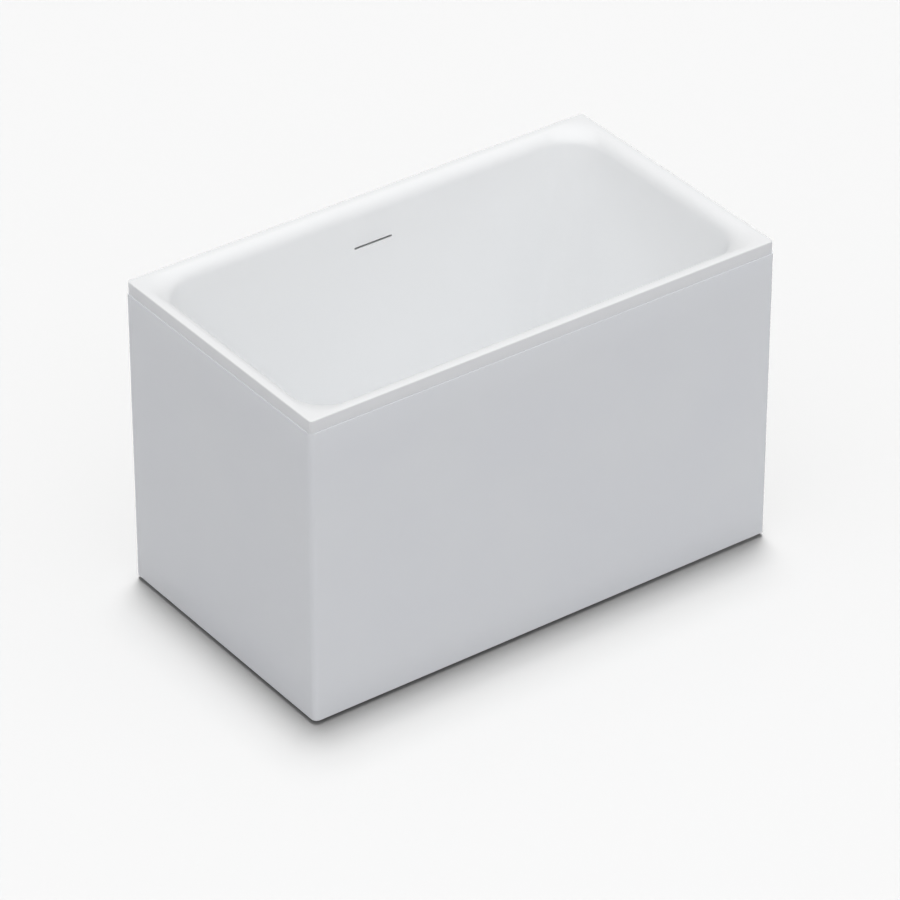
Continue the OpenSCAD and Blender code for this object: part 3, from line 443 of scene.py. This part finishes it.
# A ring of the basin at one inset from the rim's edge and one depth below its top, moved in by the walls' slope
def shellRing(inset, depth, radius, leans=1):
    halfX, halfY = tub["length"] / 2 - tub["rimInset"], tub["width"] / 2 - tub["rimInset"]
    lean = [leans * math.tan(math.radians(tub[side])) * depth for side in ("endSlope", "backSlope", "sideSlope")]
    side = halfY - inset - lean[2]
    return roundedRing(-(halfX - inset - lean[0]), halfX - inset - lean[1], -side, side, radius, tub["height"] - depth)


def between(first, second, count):
    return [[a.lerp(b, k / (count + 1)) for a, b in zip(first, second)] for k in range(1, count + 1)]


def sweepAngle(start, stop, steps):
    return [math.radians(start + (stop - start) * k / steps) for k in range(steps + 1)]


def makeTubShell():
    t, rings = tub, tub["rings"]
    wallIn = t["rimFlat"] + t["lipWidth"]
    depth = t["height"] - t["wasteHeight"]
    edgeDepth = depth - t["floorFall"]
    y, hole, patch = t["wasteY"], t["wasteHole"], t["wastePatch"]
    holeRadius = hole - 0.001  # a hair less than half, so that no two points of the ring meet
    holeTop = roundedRing(-hole, hole, y - hole, y + hole, holeRadius, t["wasteHeight"])
    patchTop = roundedRing(-patch, patch, y - patch, y + patch, t["patchRadius"], t["wasteHeight"])
    fr, lipWidth, lipDepth = t["floorRadius"], t["lipWidth"], t["lipDepth"]
    mouth, wall = t["mouthRadius"], t["wallRadius"]
    fillet = [shellRing(wallIn + fr * (1 - math.cos(a)), edgeDepth - fr * (1 - math.sin(a)),
                        wall - fr * (1 - math.cos(a))) for a in sweepAngle(90, 0, t["curveSteps"])]
    lip = [shellRing(t["rimFlat"] + lipWidth * math.sin(a), lipDepth * (1 - math.cos(a)),
                     mouth + (wall - mouth) * math.sin(a)) for a in sweepAngle(90, 0, t["curveSteps"])]
    er, cr = t["rimEdgeRadius"], t["rimCornerRadius"]
    edge = [shellRing(er * (1 - math.sin(a)), er * (1 - math.cos(a)), cr - er * (1 - math.sin(a)), 0)
            for a in sweepAngle(0, 90, t["edgeSteps"])]
    bandLow = shellRing(0, t["band"], cr, 0)
    band = between(edge[-1], bandLow, rings["band"]) + [bandLow]
    inside = [holeTop, patchTop] + between(patchTop, fillet[0], rings["floor"]) + fillet
    inside += between(fillet[-1], lip[0], rings["wall"]) + lip
    inside += between(lip[-1], edge[0], rings["rim"]) + edge + band
    back = [shellRing(t["shell"], drop, cr - t["shell"] + 1, 0) for drop in (t["band"], t["shell"])]
    backLip = [shellRing(t["rimFlat"] + (lipWidth - t["shell"]) * math.sin(a),
                         lipDepth - (lipDepth - t["shell"]) * math.cos(a),
                         mouth + (wall + t["shell"] - mouth) * math.sin(a)) for a in sweepAngle(0, 90, t["backSteps"])]
    br = fr + t["shell"]
    backFillet = [shellRing(wallIn - t["shell"] + br * (1 - math.cos(a)),
                            edgeDepth - fr + (fr + t["floorFall"] + t["floor"]) * math.sin(a),
                            wall + t["shell"] - br * (1 - math.cos(a))) for a in sweepAngle(0, 90, t["backSteps"])]
    holeLow = roundedRing(-hole, hole, y - hole, y + hole, holeRadius, t["wasteHeight"] - t["floor"])
    back += between(back[-1], backLip[0], rings["backRim"]) + backLip
    back += between(backLip[-1], backFillet[0], rings["backWall"]) + backFillet
    back += between(backFillet[-1], holeLow, rings["backFloor"]) + [holeLow]
    mesh = skinRings("tubShell", inside + back, closedAll=True)
    perBand = len(holeTop)  # faces come ring by ring: basin, rim, band, the edge under the band, and then the back
    backStarts = (len(inside) - 1) * perBand
    backEnds = (len(inside) + len(back) - 1) * perBand
    bandStarts = backStarts - len(band) * perBand
    for face in mesh.polygons:
        if backStarts + perBand <= face.index < backEnds:
            face.material_index = 1
        elif bandStarts <= face.index < backStarts:
            face.material_index = 2
    # The band's faces take the darker copy of the basin's acrylic, painted shade
    shell = addPiece("tubShell", mesh, [basinAcrylic, fibreBack, paintedShadeBandAcrylic], "tub", ["tub_shell"])
    cutSlot(shell)
    soft = shell.modifiers.new("edges", "BEVEL")
    soft.limit_method, soft.angle_limit = "ANGLE", math.radians(t["cutEdgeAngle"])
    soft.width, soft.segments = t["cutEdge"] * mm, t["cutEdgeSteps"]
    applyModifiers(shell)
    finishMesh(shell.data)


# Cuts the overflow slot, with round ends, through the rear wall
def cutSlot(shell):
    t = tub
    wallY = t["width"] / 2 - t["rimInset"] - t["rimFlat"] - t["lipWidth"]
    wallY -= math.tan(math.radians(t["sideSlope"])) * t["slotDrop"]
    radius, reach = t["slotHeight"] / 2, (t["slotLength"] - t["slotHeight"]) / 2
    outline = [(side * reach + radius * math.cos(a), radius * math.sin(a))
               for side, first in ((1, -90), (-1, 90)) for a in sweepAngle(first, first + 180, t["slotSteps"])]
    rings = [[(x, wallY + shift, t["height"] - t["slotDrop"] + z) for x, z in outline]
             for shift in (-t["cutterReach"], t["cutterReach"])]
    cutter = bpy.data.objects.new("slotCutter", skinRings("slotCutter", rings, capEnds=True))
    bpy.context.scene.collection.objects.link(cutter)
    cut = shell.modifiers.new("slot", "BOOLEAN")
    cut.object, cut.operation, cut.solver = cutter, "DIFFERENCE", "EXACT"
    applyModifiers(shell)
    bpy.data.objects.remove(cutter)


makeTubShell()
print("tub shell made")


# Apron

apron = {
    "bottom": 10, "top": 725.5, "sheet": 4, "nearRadius": 14, "endRadius": 8, "edgeRadius": 1.0, "bendRadius": 1.2,
    "topReturn": 24, "lowReturn": 12.3, "endReturn": 24, "returnEdge": 0.4, "leastRadius": 0.02,
    "arcSteps": 16, "lengthSteps": 30, "widthSteps": 18, "heightSteps": 10, "bendSteps": 5,
}


# The path of the sheet round the tub at one inset, from its end at the rear wall to its end at the right
def apronPath(inset, height):
    a = apron
    x, y = tub["length"] / 2, tub["width"] / 2
    near, end = [max(a[radius] - inset, a["leastRadius"]) for radius in ("nearRadius", "endRadius")]
    arcs = [(-x + inset + end, y - inset - end, end, 90), (-x + inset + near, -y + inset + near, near, 180),
            (x - inset - end, -y + inset + end, end, 270)]
    path = [Vector((-x + max(a["endReturn"], inset + end), y - inset, height))]
    for k, (cx, cy, radius, start) in enumerate(arcs):
        if k:
            angle = math.radians(start)
            first = Vector((cx + radius * math.cos(angle), cy + radius * math.sin(angle), height))
            steps = a["widthSteps"] if k == 1 else a["lengthSteps"]
            last = path[-1].copy()
            path += [last.lerp(first, s / steps) for s in range(1, steps)]
        for angle in sweepAngle(start, start + 90, a["arcSteps"]):
            path.append(Vector((cx + radius * math.cos(angle), cy + radius * math.sin(angle), height)))
    path.append(Vector((x - inset, -y + max(a["endReturn"], inset + end), height)))
    return path


def makeApron():
    a = apron
    z0, z1, r, s, b = a["bottom"], a["top"], a["edgeRadius"], a["sheet"], a["bendRadius"]
    top, low, e = a["topReturn"], a["lowReturn"], a["returnEdge"]
    quarter = sweepAngle(0, 90, a["bendSteps"])
    profile = [(r * (1 - math.sin(t)), z0 + r * (1 - math.cos(t))) for t in quarter]
    profile += [(0, z0 + r + (z1 - z0 - 2 * r) * k / a["heightSteps"]) for k in range(1, a["heightSteps"])]
    profile += [(r * (1 - math.cos(t)), z1 - r * (1 - math.sin(t))) for t in quarter]
    profile += [(top - e, z1), (top, z1 - e), (top, z1 - s + e), (top - e, z1 - s)]
    profile += [(s + b * (1 - math.sin(t)), z1 - s - b * (1 - math.cos(t))) for t in quarter]
    profile += [(s + b * (1 - math.cos(t)), z0 + s + b * (1 - math.sin(t))) for t in quarter]
    profile += [(low - e, z0 + s), (low, z0 + s - e), (low, z0 + e), (low - e, z0)]
    rings = [apronPath(inset, height) for inset, height in profile]
    paths = [[ring[k] for ring in rings] for k in range(len(rings[0]))]  # one closed section for each point of the path
    mesh = skinRings("apronPanel", paths, capEnds=True)
    finishMesh(mesh)
    addPiece("apronPanel", mesh, [apronAcrylic], "apron_panel", ["apron"])


makeApron()
print("apron made")


# Levelling feet

foot = {
    "threadDiameter": 12, "pitch": 1.75, "threadDepth": 1.07, "low": 13, "high": 155, "plainEnd": 1.5,
    "taper": 3, "taperShare": 0.9, "endShare": 0.72, "threadShape": [0.0, 0.06, 1.0, 0.94], "threadSteps": 24,
    "hexLow": 30, "hexHeight": 8, "hexAcross": 18, "hexBore": 9,
    "padDiameter": 56, "padHeight": 26, "hub": 26, "padBore": 12.2, "padSocket": 12.8, "padCentre": 0.02,
}
hexNuts = {
    "weldLow": 100, "weldHeight": 10, "lockLow": 94, "lockHeight": 6, "across": 21.9, "bore": 12.16,
    "chamferAngle": 30, "chamferStarts": 0.97, "boreEdge": 0.3, "steps": 48, "sharpAngle": 28,
}


def footPlace(where):
    low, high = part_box("foot_spindle_" + where)
    return (low.x + high.x) / 2 / mm, (low.y + high.y) / 2 / mm


# A hexagon nut or head with its corners chamfered at both ends; across is the width over its corners
def hexagon(low, height, across, bore):
    halfSide = math.radians(30)
    flat = across / 2 * math.cos(halfSide)
    face, boreEdge, high = flat * hexNuts["chamferStarts"], hexNuts["boreEdge"], low + height
    rings = [[] for _ in range(6)]
    for k in range(hexNuts["steps"]):
        angle = 2 * math.pi * k / hexNuts["steps"]
        side = flat / math.cos((angle + halfSide) % (2 * halfSide) - halfSide)
        drop = (side - face) * math.tan(math.radians(hexNuts["chamferAngle"]))
        rows = [(bore / 2, low + boreEdge), (face, low), (side, low + drop), (side, high - drop),
                (face, high), (bore / 2, high - boreEdge)]
        for ring, (radius, z) in zip(rings, rows):
            ring.append((radius * math.cos(angle), radius * math.sin(angle), z))
    return rings


def joinMeshes(name, meshes):
    work = bmesh.new()
    for mesh in meshes:
        work.from_mesh(mesh)
    whole = bpy.data.meshes.new(name)
    work.to_mesh(whole)
    work.free()
    return whole


def placedHexagon(where, low, height, across, bore):
    mesh = skinRings("hexagon", hexagon(low, height, across, bore), closedAll=True)
    mesh.transform(Matrix.Translation(Vector((*footPlace(where), 0)) * mm))
    return mesh


# A right-hand thread as one helical surface: each row runs on into the row one turn above it, and both ends
# taper away
def threadMesh():
    f = foot
    steps, rows = f["threadSteps"], len(f["threadShape"])
    outer, depth = f["threadDiameter"] / 2, f["threadDepth"]
    last = int((f["high"] - f["low"] - 2 * f["plainEnd"]) / f["pitch"]) * rows
    points = []
    for row in range(last + 1):
        for k in range(steps):
            z = f["low"] + f["plainEnd"] + (row / rows + k / steps) * f["pitch"]
            cut = f["threadShape"][row % rows] * depth
            full = min(1.0, (z - f["low"]) / f["taper"], (f["high"] - z) / f["taper"])
            radius = outer - cut - (1 - full) * (depth - cut) * f["taperShare"]
            angle = 2 * math.pi * k / steps
            points.append((radius * math.cos(angle), radius * math.sin(angle), z))

    def at(row, k):  # past its last point, a row goes on in the row one turn above
        return (row + rows) * steps if k == steps else row * steps + k

    faces = [(at(row, k), at(row, k + 1), at(row + 1, k + 1), at(row + 1, k))
             for row in range(last) for k in range(steps) if k < steps - 1 or row + 1 + rows <= last]
    low, high = len(points), len(points) + steps
    share, firstRow, lastRow = f["endShare"], points[:steps], points[last * steps:(last + 1) * steps]
    points += [(x * share, y * share, f["low"]) for x, y, z in firstRow]
    points += [(x * share, y * share, f["high"]) for x, y, z in lastRow]
    faces += [(low + k, low + k + 1, k + 1, k) for k in range(steps - 1)]
    faces += [(at(last, k), at(last, k + 1), high + k + 1, high + k) for k in range(steps - 1)]
    faces.append((low + steps - 1, low, *[at(row, 0) for row in range(rows + 1)], steps - 1))
    faces.append((*[at(last - row, steps - 1) for row in range(rows + 1)], at(last, 0), high, high + steps - 1))
    faces += [tuple(range(low, low + steps)), tuple(range(high, high + steps))]
    return meshOfFaces("thread", points, faces)


def makeSpindle(where):
    f = foot
    thread = threadMesh()
    thread.transform(Matrix.Translation(Vector((*footPlace(where), 0)) * mm))
    head = placedHexagon(where, f["hexLow"], f["hexHeight"], f["hexAcross"], f["hexBore"])
    mesh = joinMeshes("spindle_" + where, [thread, head])
    finishMesh(mesh, hexNuts["sharpAngle"])
    addPiece("spindle_" + where, mesh, [zincParts], "spindle_" + where, ["foot_spindle_" + where])


def makePad(where):
    f = foot
    wide, hub, bore = f["padDiameter"] / 2, f["hub"] / 2, f["padBore"] / 2
    centre, top, socket = f["padCentre"], f["padHeight"], f["padSocket"]
    profile = [(centre, 0), (wide - 4.5, 0), (wide - 3.3, 0.5), (wide - 3, 1.6), (wide - 0.6, 2.2), (wide, 3),
               (wide, 6), (wide - 0.7, 6.9), (wide - 2.2, 7.2), (hub + 4, 12.6), (hub + 1.4, 14.6), (hub, 17.5),
               (hub, top - 1.2), (hub - 1.2, top), (bore + 0.6, top), (bore, top - 0.8), (bore, socket + 0.2),
               (centre, socket)]
    mesh = turnProfile("pad_" + where, profile, (*footPlace(where), 0))
    finishMesh(mesh, sharpAngle=40)
    addPiece("pad_" + where, mesh, [nylon], "foot_" + where, ["foot_pad_" + where])


for where in feet:
    makeSpindle(where)
    makePad(where)


def makeNuts(name, source, low, height):
    mesh = joinMeshes(name, [placedHexagon(where, low, height, hexNuts["across"], hexNuts["bore"]) for where in feet])
    finishMesh(mesh, hexNuts["sharpAngle"])
    addPiece(name, mesh, [zincParts], "tub", [source])


makeNuts("weldNuts", "weld_nuts", hexNuts["weldLow"], hexNuts["weldHeight"])
makeNuts("lockNuts", "lock_nuts", hexNuts["lockLow"], hexNuts["lockHeight"])
print("levelling feet made")


# Cradle, board and battens: the CAD solids with the rounded corners of drawn tube and the eased edges of planed wood

cradle = {
    "tubeRadius": 2.6, "tubeEdge": 0.25, "sheetEdge": 0.5, "woodEdge": 1.2, "boardEdge": 0.8, "rubberEdge": 0.6,
    "fastenerEdge": 0.4, "magnetEdge": 0.4,
}

for source in ("bearer_front", "bearer_rear", "cross_member_left", "cross_member_middle", "cross_member_right",
               "post_front_left", "post_front_right", "post_rear_left", "post_rear_right"):
    roundedCopy(source + "_tube", source, cradle["tubeEdge"], steelTube, "tub",
                cradle["tubeRadius"])
for source in ("post_brackets", "wall_brackets", "strike_plates", "apron_ledges"):
    roundedCopy(source + "_sheet", source, cradle["sheetEdge"], zincSheet, "tub")
for source, material, body in (
        ("rim_batten_front", woodAlongX, "tub"), ("rim_batten_rear", woodAlongX, "tub"),
        ("rim_batten_left", woodAlongY, "tub"), ("rim_batten_right", woodAlongY, "tub"),
        ("apron_batten_front_top", woodAlongX, "apron_panel"), ("apron_batten_front_bottom", woodAlongX, "apron_panel"),
        ("apron_batten_side_top", woodAlongY, "apron_panel"), ("apron_batten_side_bottom", woodAlongY, "apron_panel")):
    roundedCopy(source + "_wood", source, cradle["woodEdge"], material, body)
roundedCopy("baseBoard", "base_board", cradle["boardEdge"], boardWood, "tub")
roundedCopy("tubeCaps", "tube_caps", cradle["rubberEdge"], nylon, "tub")
roundedCopy("rimPads", "rim_pads", cradle["rubberEdge"], rubber, "tub")
for source in ("frame_bolts", "frame_nuts", "frame_screws", "board_screws"):
    roundedCopy(source + "_zinc", source, cradle["fastenerEdge"], zincParts, "tub")
roundedCopy("apronMagnets", "apron_magnets", cradle["magnetEdge"], nickel, "apron_panel")
print("cradle, board and battens made")


# Waste, trap and overflow: turned and moulded pieces with soft edges

plumbing = {
    "metalEdge": 0.6, "plasticEdge": 0.8, "rubberEdge": 0.4,
    "nutRim": 4, "nutLip": 4, "nutLength": 16, "nutPlay": 0.4, "nutRibs": 12, "nutRibDepth": 1.6, "nutSteps": 96,
    "cupRadius": 50, "cupBore": 45.25, "cupLow": 14, "cupHeight": 26, "cupSheet": 3, "cupCentre": 0.02,
    "cupRibs": 28, "cupRibDepth": 1.5, "cupSteps": 168, "sharpAngle": 40,
}
# Each coupling: diameters of the pipe and its socket, the middle of the socket's mouth, and the way the pipe leaves
couplings = [
    (32, 37, (0, 101.5, 120), (0, 1, 0)), (40, 45, (57, 50, 72.5), (1, 0, 0)), (40, 45, (112, 96, 72.5), (0, 1, 0)),
    (32, 37, (0, 313, 162), (0, 0, 1)), (32, 37, (0, 271, 120), (0, -1, 0)), (32, 37, (0, 313, 617.6), (0, 0, -1)),
]


# A coupling nut with grip ribs round it and a lip that closes on the pipe
def makeNut(pipe, socket, mouth, leaves):
    p = plumbing
    wide, bore, inner = socket / 2 + p["nutRim"], socket / 2, pipe / 2 + p["nutPlay"]
    low, lip = p["nutLip"] - p["nutLength"], p["nutLip"]
    profile = [(bore, low + 0.4), (bore + 0.4, low), (wide - 1.4, low), (wide - 0.3, low + 0.9), (wide, low + 2),
               (wide, 1.2), (wide - 0.7, 2.7), (wide - 2.6, lip), (inner + 0.5, lip), (inner, lip - 0.5),
               (inner, 0), (bore, 0)]
    ribs = (p["nutRibs"], p["nutRibDepth"], 3, 6)
    return turnProfile("nut", profile, mouth, p["nutSteps"], ribs, Vector(leaves))


def makeCouplings():
    mesh = joinMeshes("couplingNuts", [makeNut(*coupling) for coupling in couplings])
    finishMesh(mesh, plumbing["sharpAngle"])
    addPiece("couplingNuts", mesh, [polypropylene], "tub", ["coupling_nuts"])


# The cup that screws up under the trap, with grip ribs round its side
def makeCup():
    p = plumbing
    wide, bore, centre = p["cupRadius"], p["cupBore"], p["cupCentre"]
    low, high, floor = p["cupLow"], p["cupLow"] + p["cupHeight"], p["cupLow"] + p["cupSheet"]
    profile = [(centre, low), (wide - 9, low), (wide - 2.4, low + 0.5), (wide - 0.6, low + 2), (wide, low + 4.5),
               (wide, high - 3), (wide - 0.5, high - 1), (wide - 1.4, high), (bore + 0.6, high), (bore, high - 0.6),
               (bore, floor + 1), (bore - 1, floor), (centre, floor)]
    ribs = (p["cupRibs"], p["cupRibDepth"], 4, 5)
    mesh = turnProfile("trapCup", profile, (0, tub["wasteY"], 0), p["cupSteps"], ribs)
    finishMesh(mesh, p["sharpAngle"])
    addPiece("trapCup", mesh, [polypropylene], "tub", ["trap_cup"])


makeCouplings()
makeCup()

for source, material, body, slotName in (
        ("waste_flange", chrome, "tub", "chromed_brass"), ("plug_cap", chrome, "waste_plug", "chromed_brass"),
        ("plug_stem", brass, "waste_plug", "brass"), ("plug_cartridge", brass, "tub", "brass")):
    roundedCopy(source + "_turned", source, plumbing["metalEdge"], material, body)
for source, body in (("waste_washers", "tub"), ("plug_seal", "waste_plug"), ("overflow_seal", "tub")):
    roundedCopy(source + "_rubber", source, plumbing["rubberEdge"], rubber, body)
for source in ("waste_body", "trap_body", "outlet_elbow", "outlet_pipe", "overflow_housing", "overflow_pipe",
               "overflow_elbow", "link_pipe"):
    roundedCopy(source + "_moulded", source, plumbing["plasticEdge"], polypropylene, "tub")
print("waste, trap and overflow made")


# Floor, light and camera

studio = {
    "floorColour": "#898989", "underColour": "#B4B4B4", "underDepth": 0.5, "floorReach": 40000,
    "backdropColour": "#F9F9F9", "backdropRadius": 45000, "backdropLow": -6, "backdropHigh": 88,
    "backdropTurns": 36, "backdropRows": 20,
    "overhead": 1.5, "overheadSpread": 2.0, "fromFront": 0.6, "fromLeft": 0.29,
    "floorLamps": [(0.4, 3.0, 2.85), (4.4, 4.0, 3.32), (8.0, 7.0, 2.82)], "leanRight": 0.75,
    "cameraAzimuth": -36.078, "cameraElevation": 33.386, "cameraDistance": 11.7243,  # degrees, and metres
    "target": (0.0, 0.008, 0.2739), "lens": 217.57, "sensor": 36,
}


# A matt surface that isn't part of the tub, or one that only glows in its colour
def stagePiece(name, mesh, colour, glows=False):
    made, tree, shader = startMaterial(name, "#000000" if glows else colour, roughness=0.9)
    shader.inputs["Specular IOR Level"].default_value = 0.0
    shader.inputs["Emission Color"].default_value = linear(colour)
    shader.inputs["Emission Strength"].default_value = 1.0 if glows else 0.0
    mesh.materials.append(made)
    placed = bpy.data.objects.new(name, mesh)
    bpy.context.scene.collection.objects.link(placed)
    return placed


def floorPlane(name, colour, height):
    reach = studio["floorReach"]
    corners = [(x * reach, y * reach, height) for x, y in ((-1, -1), (1, -1), (1, 1), (-1, 1))]
    return stagePiece(name, meshOfFaces(name, corners, [(0, 1, 2, 3)]), colour)


# The floor that shows throws no light back on the tub, as on a cut-out studio shot; a grey one just under it
# throws a little
def makeFloor():
    shown = floorPlane("floor", studio["floorColour"], 0.0)
    shown.visible_diffuse = False
    shown.visible_shadow = False
    floorPlane("floorUnder", studio["underColour"], -studio["underDepth"])
    return shown


# A pale dome far outside the floor, for views so low that they look past the floor; only the camera sees it
def makeBackdrop():
    s = studio
    reach = s["backdropRadius"]
    rings = [[(reach * math.cos(rise) * math.cos(turn), reach * math.cos(rise) * math.sin(turn), reach * math.sin(rise))
              for turn in sweepAngle(0, 360, s["backdropTurns"])[:-1]]
             for rise in sweepAngle(s["backdropLow"], s["backdropHigh"], s["backdropRows"])]
    dome = stagePiece("backdrop", skinRings("backdrop", rings), s["backdropColour"], glows=True)
    dome.visible_diffuse = dome.visible_glossy = dome.visible_transmission = dome.visible_shadow = False


# Broad light from overhead, some from the front and half as much from the left, and lamps for the floor's soft shadow
def makeLight(floor):
    world = bpy.data.worlds.new("studio")
    bpy.context.scene.world = world
    world.use_nodes = True
    tree = world.node_tree
    tree.nodes["Background"].inputs["Color"].default_value = linear("#FFFFFF")
    direction = addNode(tree, "ShaderNodeTexCoord").outputs["Generated"]
    sides = []
    for towards, power, strength in (((0, 0, 1), studio["overheadSpread"], studio["overhead"]),
                                     ((0, -1, 0), 1.0, studio["fromFront"]), ((-1, 0, 0), 1.0, studio["fromLeft"])):
        facing = addNode(tree, "ShaderNodeVectorMath", {0: direction, 1: towards},
                         operation="DOT_PRODUCT").outputs["Value"]
        ahead = addNode(tree, "ShaderNodeMath", {0: facing, 1: 0.0}, operation="MAXIMUM").outputs[0]
        lobe = addNode(tree, "ShaderNodeMath", {0: ahead, 1: power}, operation="POWER").outputs[0]
        sides.append(addNode(tree, "ShaderNodeMath", {0: lobe, 1: strength}, operation="MULTIPLY").outputs[0])
    total = addNode(tree, "ShaderNodeMath", {0: sides[0], 1: sides[1]}, operation="ADD").outputs[0]
    total = addNode(tree, "ShaderNodeMath", {0: total, 1: sides[2]}, operation="ADD").outputs[0]
    height = addNode(tree, "ShaderNodeSeparateXYZ", {0: direction}).outputs[2]
    above = addNode(tree, "ShaderNodeMath", {0: height, 1: 0.0}, operation="GREATER_THAN").outputs[0]
    tree.links.new(addNode(tree, "ShaderNodeMath", {0: total, 1: above}, operation="MULTIPLY").outputs[0],
                   tree.nodes["Background"].inputs["Strength"])
    onlyFloor = bpy.data.collections.new("onlyFloor")
    onlyFloor.objects.link(floor)
    for k, (tilt, spread, strength) in enumerate(studio["floorLamps"]):
        lamp = bpy.data.lights.new(f"floorLamp{k}", "SUN")
        lamp.angle = math.radians(2 * spread)
        lamp.energy = strength
        hung = bpy.data.objects.new(f"floorLamp{k}", lamp)
        lean = math.tan(math.radians(tilt))
        hung.rotation_mode = "QUATERNION"
        hung.rotation_quaternion = Vector((lean * studio["leanRight"], lean, 1)).to_track_quat("Z", "Y")
        hung.light_linking.receiver_collection = onlyFloor
        bpy.context.scene.collection.objects.link(hung)


def makeCamera():
    azimuth, elevation = math.radians(studio["cameraAzimuth"]), math.radians(studio["cameraElevation"])
    level = math.cos(elevation)
    back = Vector((math.sin(azimuth) * level, -math.cos(azimuth) * level, math.sin(elevation)))
    data = bpy.data.cameras.new("camera")
    data.lens, data.sensor_width = studio["lens"], studio["sensor"]
    camera = bpy.data.objects.new("camera", data)
    camera.location = Vector(studio["target"]) + back * studio["cameraDistance"]
    camera.rotation_mode = "QUATERNION"
    camera.rotation_quaternion = (-back).to_track_quat("-Z", "Y")
    bpy.context.scene.collection.objects.link(camera)
    bpy.context.scene.camera = camera


makeLight(makeFloor())
makeBackdrop()
makeCamera()
bpy.context.scene.view_settings.view_transform = "Standard"
print("floor, light and camera made")
